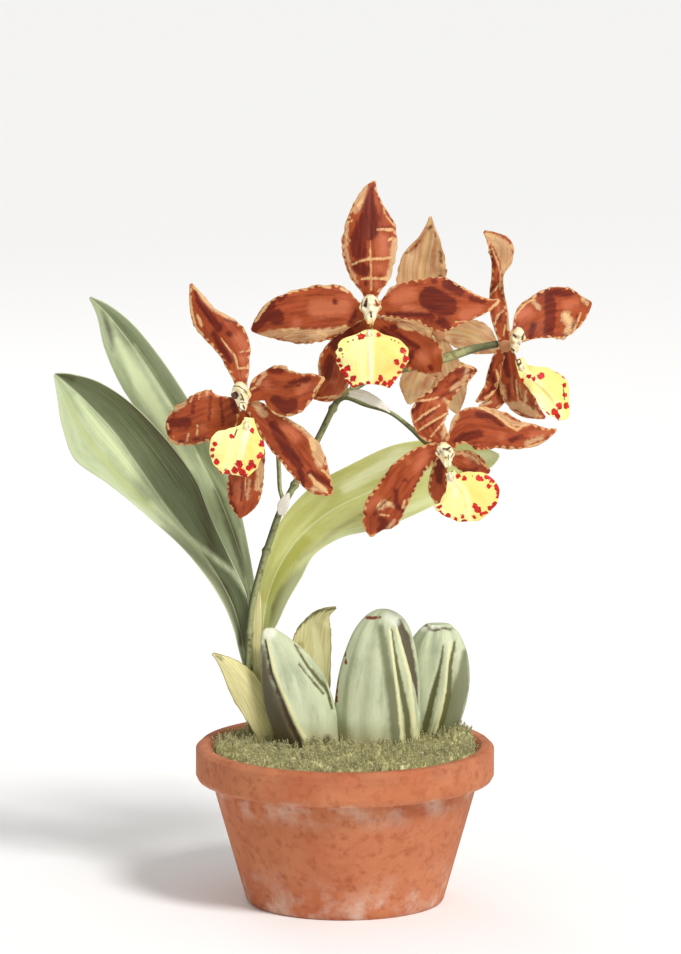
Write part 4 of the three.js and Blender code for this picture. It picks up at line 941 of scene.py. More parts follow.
def sheathFinish():
    material, tree, shader = newMaterial("paperySheath")
    lines = drawn(tree, fromMesh(tree, "over"), 1.8, 0.06)
    colour = blend(tree, span(tree, lines, 0.35, 0.65), "#CFC588", "#E9E2A9")
    colour = blend(tree, span(tree, fromMesh(tree, "along"), 18.0, 2.0, 0.0, 0.6), colour, "#AFA66C")
    colour = painted(tree, colour, lines, {"tan": "#BFB070", "pale": "#EDE7B4", "dark": "#4C5230"})
    rim = maths(tree, "SUBTRACT", fromMesh(tree, "rim"), times(tree, lines, 0.6))
    colour = blend(tree, span(tree, rim, 0.3, 0.05, 0.0, 0.7), colour, "#8A7B3C")
    colour = blend(tree, fromMesh(tree, "rear"), colour, "#C9C48E")
    relief(tree, shader, lines, 0.0004)
    finish(tree, shader, colour, 0.7, 0.3)
    return material


def leafFinish(name, light, mid, shadow, tip, layers):
    material, tree, shader = newMaterial(name)
    u = fromMesh(tree, "u")
    veins = drawn(tree, u, 22.0, 0.012)
    wash = drawn(tree, u, 2.5, 0.03)
    colour = blend(tree, span(tree, wash, 0.35, 0.65), light, mid)
    # painted shade over the half turned from the light, then the brush marks: light and pale are painted
    # highlights, dark is painted shade with the darker underside, and tan is the leaf's own warmer tone
    colour = coat(tree, colour, fromMesh(tree, "shade"), 0.9, shadow)
    colour = painted(tree, colour, veins, layers, 2.0)
    colour = blend(tree, span(tree, veins, 0.5, 0.68, 0.0, 0.3), colour, mid)
    colour = blend(tree, span(tree, veins, 0.42, 0.3, 0.0, 0.25), colour, tip)
    # painted light where the leaf rolls into the light
    colour = coat(tree, colour, fromMesh(tree, "glow"), 0.6, tip)
    midrib = maths(tree, "ABSOLUTE", fromMesh(tree, "over"))
    colour = blend(tree, span(tree, midrib, 0.8, 0.2, 0.0, 0.45), colour, tip)
    colour = blend(tree, span(tree, fromMesh(tree, "rim"), 0.5, 0.15, 0.0, 0.6), colour, tip)
    colour = coat(tree, colour, fromMesh(tree, "rear"), 0.45, "#A9B48C")
    fleck = cloudy(tree, onPiece(tree), 700.0, 3.0, 0.7)
    colour = blend(tree, span(tree, fleck, 0.68, 0.74, 0.0, 0.3), colour, shadow)
    relief(tree, shader, maths(tree, "MULTIPLY_ADD", fleck, 0.15, veins), 0.00035, 0.7)
    finish(tree, shader, colour, span(tree, wash, 0.3, 0.7, 0.5, 0.62), 0.25)
    return material


def ramp(value, top=1):
    return np.clip(value, 0, top)


def leafTones(name, u, t):
    # shade darkens the half that turns away, glow lightens where the leaf rolls into the light
    if name == "leaf_1":
        shade = ramp((u + 0.05) * 9) * ramp(0.75 + 0.4 * u) * ramp(1.25 - 0.35 * t)
        glow = ramp(-u * 1.6 - 0.5) * 0.5
    elif name == "leaf_2":
        shade = ramp((-u - 0.05) * 6) * 0.25 + ramp((u - 0.02) * 8) * ramp((t - 0.35) * 2, 0.55)
        glow = ramp((u - 0.3) * 1.5) * 0.6
    else:
        shade = ramp((0.42 - t) * 2.5) * ramp((u + 0.1) * 4) * 0.6
        glow = ramp((t - 0.6) * 1.8) * 0.7 + ramp((u - 0.45) * 3) * ramp((0.8 - t) * 2) * 0.7
    return shade, ramp(glow)


papery = sheathFinish()
for k, (name, stations) in enumerate(sheaths.items()):
    heap = Heap()
    addBlade(heap, stations, sheathForm, 40 + k, sheathMarks.get(name), tone=0.3 * k)
    settle(heap.make(pieceName(name), [papery]), "sheath", name)

oldLeaf = leafFinish("leafGreen", "#B9C59C", "#9DAA7E", "#474D2A", "#D8DFB9",
                     {"light": "#D3DEAD", "tan": "#AEB66F", "dark": "#45401F", "pale": "#E4EABF"})
newLeaf = leafFinish("youngLeafGreen", "#C6C983", "#B5B768", "#7E8A4E", "#DEE3B4",
                     {"light": "#D9DDAE", "tan": "#A8A84E", "dark": "#6B6838", "pale": "#D3DCA6"})
for k, (name, stations) in enumerate(leaves.items()):
    heap = Heap()
    addBlade(heap, stations, leafForm, 60 + 7 * k, leafMarks[name], tone=0.4 * k)
    u, t, rear = (heap.values[key][0] for key in ("u", "t", "rear"))
    shade, glow = leafTones(name, u, t)
    heap.values["shade"] = [shade * (1 - rear)]
    heap.values["glow"] = [glow * (1 - rear)]
    skin, slot = (newLeaf, "young_leaf") if name == "leaf_3" else (oldLeaf, "leaf")
    settle(heap.make(pieceName(name), [skin]), slot, name)
print("leaves made")


# Flower stem: the main stalk, its side stalks and the swollen ovaries under the flowers
mainStalk = [[-44, -7, 1.5], [-47, 10, 1.5], [-49, 30, 1.5], [-48.5, 47, 0.8], [-47, 67.5, 0],
    [-41.5, 90, -0.5], [-37.5, 102.5, -1], [-32.5, 116.5, -1.5], [-22.5, 135, -1], [-12.5, 155, 0],
    [-2.5, 173.5, 0], [3.5, 177.5, 1], [15, 184, 4], [32.5, 188.5, 5]]
sideStalks = [
    [[3, 177, 1], [8, 188, 0], [11, 201, -6], [12.3, 214, -15.4]],
    [[-33, 115, -1.5], [-31, 121, -3], [-32.5, 128, -4.5], [-33, 138, -8], [-34, 149, -13], [-39, 161, -19],
        [-48.5, 170.5, -25.6]],
    [[-5, 171, 0], [0, 173.5, -4], [10, 170, -10], [22.5, 166, -17], [33, 158, -24], [41, 151, -30],
        [47, 148, -33.6]],
    [[31, 188, 5], [38, 195, 12], [44, 204, 25.6]],
]
thirdOvary = [[31, 188, 5], [50, 193.5, 8], [64, 198, 8], [76.5, 200.5, 5.5]]
stemPlan = {
    "radius": 1.6, "sideRadius": 1.2, "sides": 20, "stepMm": 0.8,
    "joints": [0.28, 0.46, 0.62, 0.8],  # shares of the main stalk where it swells
    "swell": 0.45,
    "mainFresh": 0.1, "sideFresh": [0.35, 0.5, 0.3, 0.6], "ovaryFresh": 0.8,  # how green each is
    # litFrom is the way the painted light on the stalks comes from
    "litFrom": [0.75, -0.45, 0.45],
}


def pathThrough(points, stepMm):
    # a smooth line through the points, knots spaced by the root of their distance
    points = seen(*np.array(points, float).T)
    ends = np.concatenate([[2 * points[0] - points[1]], points, [2 * points[-1] - points[-2]]])
    line = []
    for a, b, c, d in zip(ends[:-3], ends[1:-2], ends[2:-1], ends[3:]):
        k1 = np.linalg.norm(b - a) ** 0.5
        k2 = k1 + np.linalg.norm(c - b) ** 0.5
        k3 = k2 + np.linalg.norm(d - c) ** 0.5
        count = max(2, round(np.linalg.norm(c - b) / stepMm))
        t = np.linspace(k1, k2, count, endpoint=False)[:, None]
        e = a * (k1 - t) / k1 + b * t / k1
        f = b * (k2 - t) / (k2 - k1) + c * (t - k1) / (k2 - k1)
        g = c * (k3 - t) / (k3 - k2) + d * (t - k2) / (k3 - k2)
        h = e * (k2 - t) / k2 + f * t / k2
        i = f * (k3 - t) / (k3 - k1) + g * (t - k1) / (k3 - k1)
        line.append(h * (k2 - t) / (k2 - k1) + i * (t - k1) / (k2 - k1))
    return np.concatenate([*line, points[-1:]])


def addTube(heap, points, radiusAt, **values):
    line = pathThrough(points, stemPlan["stepMm"])
    along = np.gradient(line, axis=0)
    along /= np.linalg.norm(along, axis=1, keepdims=True)
    share = np.linspace(0, 1, len(line))
    side = np.cross(along[0], [0, 1.0, 0])
    side /= np.linalg.norm(side)
    turns = np.linspace(0, 2 * math.pi, stemPlan["sides"], endpoint=False)[:, None]
    rings, facing = [], []
    for k, here in enumerate(line):
        side = side - along[k] * side.dot(along[k])
        side /= np.linalg.norm(side)
        other = np.cross(along[k], side)
        spoke = side * np.cos(turns) + other * np.sin(turns)
        rings.append(here + spoke * radiusAt(share[k], turns[:, 0])[:, None])
        facing.append(spoke @ np.array(stemPlan["litFrom"]))
    # lit: how far each point faces litFrom, for the painted light and shade
    lit = np.array(facing) * 0.5 + 0.5
    addSkin(heap, np.array(rings), lit=lit, along=share[:, None] + 0 * lit, **values)


def stemFinish():
    material, tree, shader = newMaterial("stalkGreen")
    # painted light and shade: each stalk is lighter on the side that faces litFrom and darker on the other
    lit = span(tree, fromMesh(tree, "lit"), 0.35, 0.85)
    colour = blend(tree, lit, "#3A3F22", "#93996A")
    fresh = fromMesh(tree, "fresh")
    freshColour = blend(tree, lit, "#767E4A", "#CDCF93")
    colour = blend(tree, fresh, colour, freshColour)
    colour = blend(tree, patches(tree, 420.0, 0.5, 0.7), colour, "#5A4A2C")
    # the far end of the ovary is in the shade of its flower
    shaded = maths(tree, "GREATER_THAN", fresh, 0.75)
    dusk = times(tree, span(tree, fromMesh(tree, "along"), 0.6, 0.78), shaded)
    colour = coat(tree, colour, dusk, 0.85, blend(tree, lit, "#2C2C18", "#6F7350"))
    relief(tree, shader, cloudy(tree, onPiece(tree), 900.0, 3.0), 0.0003, 0.5)
    finish(tree, shader, colour, 0.55, 0.3)
    return material


def makeStem():
    plan = stemPlan
    heap = Heap()

    def mainRadius(share, turns):
        swell = sum(math.exp(-((share - joint) / 0.006) ** 2) for joint in plan["joints"])
        return plan["radius"] * (1 + 0.12 * (1 - share) + plan["swell"] * swell) + 0 * turns

    def sideRadius(share, turns):
        ovary = 0.5 * math.exp(-((share - 0.86) / 0.13) ** 2)
        ridges = 0.06 * np.cos(6 * turns) * min(1, share * 3)
        foot = 0.25 * math.exp(-(share / 0.08) ** 2)
        return plan["sideRadius"] * (0.92 + ovary + foot + ridges * (0.3 + ovary * 2))

    def ovaryRadius(share, turns):
        body = 0.35 * math.sin(math.pi * min(1, share * 1.05)) ** 2
        return (plan["radius"] + 0.2) * (0.95 + body + 0.05 * np.cos(6 * turns))

    addTube(heap, mainStalk, mainRadius, fresh=plan["mainFresh"])
    for points, fresh in zip(sideStalks, plan["sideFresh"]):
        addTube(heap, points, sideRadius, fresh=fresh)
    addTube(heap, thirdOvary, ovaryRadius, fresh=plan["ovaryFresh"])
    settle(heap.make("flowerStem", [stemFinish()]), "stem", "flower_stem")


makeStem()

bractForm = {"rows": 40, "columns": 18, "thickness": 0.6, "frill": 0.2, "frills": 6, "lumps": 0.2}
bracts = {
    "bract_lower": [[-32, 115, -6, 1.5, 1.5], [-31, 119, -6.7, 3, 2.5, 0.5, 0.5],
        [-29.5, 122.5, -6.9, 2.5, 2, 0.5, 0.5], [-28, 126, -6.5, 0.6, 0.6]],
    "bract_upper": [[2, 175.5, -9, 1.5, 1.5], [8, 175, -13, 2.5, 3, 0.5, 0.5],
        [15, 172, -17, 2, 3, 0.5, 0.5], [20, 168.5, -20, 1, 1.5], [22.5, 166, -21.5, 0.5, 0.5]],
}


def bractFinish():
    material, tree, shader = newMaterial("bractSkin")
    lines = drawn(tree, fromMesh(tree, "over"), 3.0, 0.1)
    colour = blend(tree, span(tree, lines, 0.35, 0.65), "#E2DAC4", "#FBF8EE")
    colour = blend(tree, span(tree, fromMesh(tree, "rim"), 0.4, 0.1, 0.0, 0.6), colour, "#A99F7C")
    relief(tree, shader, lines, 0.0003)
    finish(tree, shader, colour, 0.65)
    return material


bractSkin = bractFinish()
for k, (name, stations) in enumerate(bracts.items()):
    heap = Heap()
    addBlade(heap, stations, bractForm, 90 + k)
    settle(heap.make(pieceName(name), [bractSkin]), "bract", name)
print("stem and bracts made")


# Flowers, from the stations of the solids with two lips mended; a heart is where the tepals meet
bowReach = 60  # millimetres from the heart at which a flower has bent by its whole bow
flowers = [
    {
        "heart": [12.5, 216.5], "depth": -20, "lean": 0.05, "bow": 9,
        "column": {"foot": [12.5, 210.5, -5.5], "head": [12.5, 223.8, -8], "halfWidth": 5.7, "turned": 0},
        "lip": [[12.5, 207, -4, 2.6, 2.6], [12.5, 204.7, -5.2, 6.5, 7, 0.5, 0.5],
            [12.5, 202, -6.7, 14.5, 14.3, 1, 1], [12.5, 197.5, -8, 18.3, 16.5, 2, 2],
            [12.5, 192.5, -8.5, 19, 17, 2.5, 2.5], [12.5, 187.5, -8, 16.7, 15.2, 2.5, 2.5],
            [12.5, 183, -7, 12.7, 12.2, 2, 2, 0.5], [12.5, 180, -6, 9.3, 9, 1, 1, 2]],
        "tepals": [
            [[12.5, 214, 0, 2.5, 2.5], [12.5, 224, -0.5, 3.5, 4, 0.5, 0.5],
                [12.5, 232, -1.5, 9.5, 9.5, 1, 1], [12.5, 241.5, -2, 13, 12.2, 2, 2],
                [12.5, 250, -1, 14, 13.5, 2.5, 2.5], [12.5, 259, 0.5, 12.3, 12.3, 2.5, 2],
                [12.6, 268, 2, 9.2, 7, 1, 1.5], [13.2, 275.5, 4, 5, 3, 0.5, 0.5], [14.8, 281, 6, 0.7, 0.6]],
            [[12, 216, 0.5, 2.5, 2.5], [6, 216, 0, 6, 5.5, 0.5, 0.5], [-1, 216.5, -1.5, 11.5, 11.5, 2, 1],
                [-11, 216.5, -3, 15, 12.5, 4, 1], [-22.5, 215.5, -4, 15.5, 11.5, 5, 1.5],
                [-34, 212.5, -4.5, 12, 9.5, 4, 2], [-42, 209, -4, 6, 5, 2, 1],
                [-46.5, 206.8, -3.5, 0.8, 0.8]],
            [[13, 216, 0.5, 2.5, 2.5], [19, 217, 0, 5, 3.5], [26, 218.5, -1, 10.5, 6.5, 1, 1],
                [36, 220.3, -2, 11.5, 9.5, 1.5, 1], [47.5, 220.2, -2.5, 13.3, 14.5, 2, 1],
                [57, 220, -1.5, 9, 11, 2, 1], [66, 219.6, 0, 4.8, 6, 1, 0.5], [73, 220.3, 2, 2.4, 2.8],
                [77, 222.2, 3, 0.7, 0.7]],
            [[11.5, 213, 1.5, 2.5, 2.5], [6, 206, 2, 6, 5], [0, 199.5, 3, 9, 7, 1, 1],
                [-5, 191, 4, 9, 8.3, 1.5, 1.5], [-7, 183, 5, 9.5, 6.5, 1, 2],
                [-10.5, 177, 5.5, 7, 4.5, 0.5, 1], [-16, 173.2, 6, 0.7, 0.7]],
            [[13.5, 213, 1.5, 2.5, 2.5], [19, 208.5, 2, 5, 5], [26, 204.5, 3, 8, 9, -1, 1],
                [34, 199, 4, 9.7, 11.5, -1.5, 1.5], [41, 193, 5, 9, 9, -1, 1.5],
                [45.5, 187, 6, 3.5, 4.5, 0, 0.5], [46.5, 183, 6.5, 0.7, 0.7]],
        ],
    },
    {
        "heart": [-50.5, 172.5], "depth": -30, "lean": -0.18, "bow": 8,
        "column": {"foot": [-50.5, 167.3, -5.5], "head": [-52, 180.7, -8], "halfWidth": 5.2, "turned": 0},
        "lip": [[-48, 163.5, -4, 2.5, 2.5], [-48.5, 159, -5.5, 5, 3.5], [-50, 154.5, -7, 10.5, 9, 1, 1],
            [-51.5, 150.5, -8, 12.3, 14, 1.5, 1.5], [-52.7, 146, -8.3, 12, 14.7, 2, 2],
            [-53.5, 140.7, -8, 10.5, 12.5, 1.5, 1.5], [-54, 137, -7, 8, 9.5, 1, 1],
            [-54.3, 135, -6, 6, 7, 0, 0, 0.5]],
        "tepals": [
            [[-50.5, 171, 0, 2.5, 2.5], [-51.5, 180, 0, 3.2, 3.2], [-53, 188, 1, 5.3, 6, 0, 1],
                [-57, 197, 2.5, 6, 11, 0, 2], [-62.5, 205, 4, 7, 11, 1, 2], [-68.5, 213.5, 5, 8, 6, 1.5, 1],
                [-73.3, 221.5, 5, 4.3, 4.3, 0.5, 0.5], [-76.5, 230, 4, 0.7, 0.7]],
            [[-51.5, 172, 0.5, 2.5, 2.5], [-56, 169.5, 0, 6, 5], [-62, 166, -1, 12, 11.5, 1],
                [-69, 164.5, -2, 13, 12, 1.5], [-77, 161.3, -2.5, 11.8, 10.5, 2],
                [-83.5, 159.8, -2.5, 10, 9.5, 1, 1], [-87, 160, -2, 6.5, 6.5],
                [-89, 160.2, -1.5, 1.5, 1.5]],
            [[-50.5, 172.5, 0.5, 2.5, 2.5], [-46, 174, -0.5, 3.5, 3.2], [-41, 177, -1.5, 8, 6.5],
                [-34.5, 177.3, -3, 12, 12, 1, 1], [-27.5, 176.7, -4, 11, 13, 1, 1.5],
                [-20.5, 178.5, -5, 7.5, 8.5, 0.5, 1], [-15, 181, -5.5, 4.5, 4.5],
                [-10, 182.8, -6, 0.7, 0.7]],
            [[-50.5, 170, 2, 2.5, 2.5], [-49, 160, 3, 6.5, 5], [-49.5, 149, 4, 9.5, 7, 1, 1],
                [-49.3, 138, 4.5, 9.3, 8.5, 1.5, 1], [-49.5, 127.5, 4.5, 8.3, 9.3, 1, 1],
                [-51, 119.5, 4, 6, 7, 0, 0.5], [-52.5, 113.5, 3, 0.8, 0.8]],
            [[-50, 170.5, 1.5, 2.5, 2.5], [-44, 167, 1.5, 5, 4.5], [-37.5, 160, 1, 7.3, 6.7],
                [-28.5, 151.3, 0, 10.5, 9, 1, 1], [-21, 142.5, -1, 11.3, 9, 1.5, 1],
                [-14.5, 133.8, -1.5, 8, 8, 1, 1], [-9.5, 128.5, -1.5, 4.5, 5], [-6, 125.5, -1.5, 0.8, 0.8]],
        ],
    },
    {
        "heart": [80, 199.5], "depth": 2, "lean": 0.75, "bow": 7,
        "column": {"foot": [84, 196.8, -5], "head": [86.7, 208, -8.5], "halfWidth": 4.6, "turned": 40},
        "lip": [[86.8, 193, -5, 2.2, 2.2], [88.5, 188.5, -7, 3, 3], [91.5, 184.8, -9.5, 6, 4.5, 2],
            [97, 180, -12, 10, 6, 7, -1], [102, 175, -13.5, 10.8, 7, 9, -2],
            [105.5, 169.5, -14, 7.2, 6.8, 7, -2], [107.8, 165, -13.5, 4.5, 4, 3],
            [108.3, 162.3, -13, 2, 2]],
        "tepals": [
            [[80, 199, 0.5, 2.5, 2.5], [78.5, 208, 1, 4, 3.5], [77.3, 216, 1, 5, 4, 1, -1],
                [76, 226, 1.5, 4, 3.2, 2, -2], [76, 235, 2, 3, 3.2, 2, -2], [77.5, 242.5, 1, 5, 6],
                [77, 248.5, -1, 6.3, 6.5, -2, 2], [73, 253, -3, 3.5, 3.5, -1, 1], [69, 256, -5, 0.7, 0.7]],
            [[79.5, 199.5, 1, 2.5, 2.5], [76.5, 193, 3, 3, 3], [74, 185.5, 5, 3.7, 3, 0, 2],
                [72.5, 179.5, 6, 3.6, 2.7, 0, 2], [69.5, 175, 7, 2.8, 2.3], [65.5, 171.5, 8, 0.7, 0.7]],
            [[80.5, 200.5, 0, 2.5, 2.5], [86.5, 204.5, -1, 5, 4], [93, 210.3, -2.5, 10.5, 9, 1, 1],
                [100, 214.8, -4, 11.8, 13, 1, 1], [108, 217.5, -5, 12.3, 14, 1.5, 1.5],
                [116, 219, -5, 9.5, 9.5, 1, 1], [121, 220.5, -4, 4.3, 4.3], [124, 221.6, -3, 0.7, 0.7]],
            [[79.5, 198, 2.5, 2.5, 2.5], [77.5, 189, 5, 3.3, 3.3], [77, 181, 6.5, 3.8, 3.5],
                [76.3, 175, 7.5, 4.8, 4], [73.5, 171, 8, 4, 3.5], [67, 169.3, 8, 0.8, 0.8]],
            [[80.5, 198.5, 0, 2.5, 2.5], [81.5, 192, -0.5, 4.5, 4.5], [82.3, 184.5, -1, 5.8, 5.8, 0, 1],
                [85, 176.5, -1.5, 8, 7, 0, 1], [90.5, 169.5, -2, 7, 6, 0, 1], [96, 165.8, -2, 3.5, 3],
                [100.5, 163.8, -2, 0.8, 0.8]],
        ],
    },
    {
        "heart": [50, 146.5], "depth": -38, "lean": 0.12, "bow": 8,
        "column": {"foot": [50.7, 139.5, -5.5], "head": [48.6, 150.8, -8], "halfWidth": 5, "turned": 0},
        "lip": [[52, 136.5, -4.5, 2.3, 2.3], [53.3, 133.5, -6, 3.5, 3.5], [56, 130.5, -7.5, 9.5, 10, 1, 1],
            [59, 126, -8.5, 16, 16, 2, 2], [60.4, 120.5, -8.8, 15.7, 16.2, 2, 2],
            [61, 115.6, -8, 10.5, 11.5, 1, 1], [61.2, 112, -7, 5, 5.5]],
        "tepals": [
            [[49.5, 146.5, 1, 2.5, 2.5], [47, 153, 1, 4.5, 4.5], [42.5, 159, 2, 7.8, 8, 0, 1],
                [41, 167, 3, 8, 10.5, 1, 2], [45.5, 174.3, 3.5, 4.5, 8.5, 1, 2],
                [53.5, 180.3, 4, 5.5, 4.5, 0, 1], [60.5, 185.3, 4.5, 4.8, 3.5], [65.5, 187, 5, 0.7, 0.7]],
            [[49.5, 147, 0.5, 2.5, 2.5], [44, 146.5, 0, 4.5, 4.5], [36.5, 142.5, -1.5, 6.5, 6],
                [29, 135.8, -2.5, 9, 7, 1, 1], [23, 127, -3, 10.3, 7.5, 1, 1],
                [17.5, 118, -3, 11.5, 8.5, 1.5, 1], [13.5, 110.5, -2.5, 8, 5, 1],
                [13, 104.3, -2, 0.8, 0.8]],
            [[50.5, 147.5, 0.5, 2.5, 2.5], [54.5, 153, 0, 4.5, 4], [60, 157.3, -1, 9.5, 10, 1, 1],
                [68, 158.3, -2, 10.5, 11, 1, 1], [77, 157, -2.5, 9.3, 9, 1.5, 1],
                [86, 155.2, -2, 6.8, 7.5, 1, 1], [95, 155, -1, 5, 5.5, 0, 1], [101, 156, 0, 2.3, 2.5],
                [105, 157.7, 1, 0.7, 0.7]],
            [[49.5, 145, 2, 2.5, 2.5], [47.5, 140, 5, 3.5, 3.5], [46, 134, 9, 5, 4], [46, 127, 13, 5, 4.5],
                [47, 119, 16, 0.8, 0.8]],
            [[51, 145.5, 2, 2.5, 2.5], [55, 143.5, 3, 4, 4], [60.5, 141.3, 5, 6, 5.5],
                [66.5, 138.8, 8, 4.8, 5], [72, 136.5, 10, 0.8, 0.8]],
        ],
    },
    {
        "heart": [47, 205.5], "depth": 30, "lean": 0.25, "bow": -8,
        "column": {"foot": [47.2, 201, 6], "head": [47.2, 213, 8.5], "halfWidth": 5.3, "turned": 180},
        "lip": [[47.2, 196.5, 5.5, 2.6, 2.6], [47.2, 193.5, 7, 7, 7], [47.2, 191, 8, 13, 13, -1, -1],
            [47.2, 186.5, 9, 15.5, 15.5, -2, -2], [47.2, 181.5, 9, 15.5, 15.5, -2, -2],
            [47.2, 176.5, 8, 12, 12, -1, -1, 0.5], [47.2, 173.5, 7, 9, 9, 0, 0, 2]],
        "tepals": [
            [[46, 205, 0, 2.5, 2.5], [43.5, 216, 1, 6, 6], [40, 227.5, 2, 13.5, 10.5, -1, -1],
                [38.7, 237.5, 2, 12.2, 12.3, -2, -2], [40, 245.5, 1, 9.8, 10.2, -2, -2],
                [41.6, 253, 0, 5, 6.3, -1, -1], [42.5, 260, -1, 2, 2.3], [42.7, 264.3, -1, 0.6, 0.6]],
            [[46, 206.5, 0, 2.5, 2.5], [40, 208, 0.5, 7, 6], [32, 209, 1, 9, 8], [24, 208, 1, 9, 8],
                [17, 206, 0, 6, 5], [11, 204, 0, 0.8, 0.8]],
            [[48, 206.5, 0, 2.5, 2.5], [54, 207, 0.5, 6, 7], [61, 206, 1, 8, 9], [68, 203, 1, 8, 8],
                [73, 200, 0, 5, 5], [77.5, 197, -1, 0.8, 0.8]],
            [[46, 204, 1, 2.5, 2.5], [43, 196, 2, 5, 5], [39, 188, 2, 7.5, 7.5], [35, 180, 1, 8, 8],
                [33, 174, 0, 4, 4], [32, 170.5, 0, 0.8, 0.8]],
            [[48, 204, 1, 2.5, 2.5], [50.5, 195, 2, 5, 5], [52.5, 186, 2, 7.5, 7.5], [54, 177, 1, 7.5, 7.5],
                [55.5, 170, 0, 4, 4], [56.5, 166, 0, 0.8, 0.8]],
        ],
    },
]
tepalForm = {
    "rows": 84, "columns": 36, "thickness": 0.75, "wave": 0.9, "waves": 3.5, "frill": 0.8, "frills": 16,
    "notch": 0.035, "lumps": 0.5, "rib": 0.45, "ribWidth": 0.8,
}
lipForm = {
    "rows": 100, "columns": 84, "thickness": 0.7, "wave": 0.9, "waves": 3, "frill": 0.6, "frills": 14,
    "notch": 0.035, "knots": 20, "lumps": 0.3, "rib": -0.5, "ribWidth": 1.0,
}

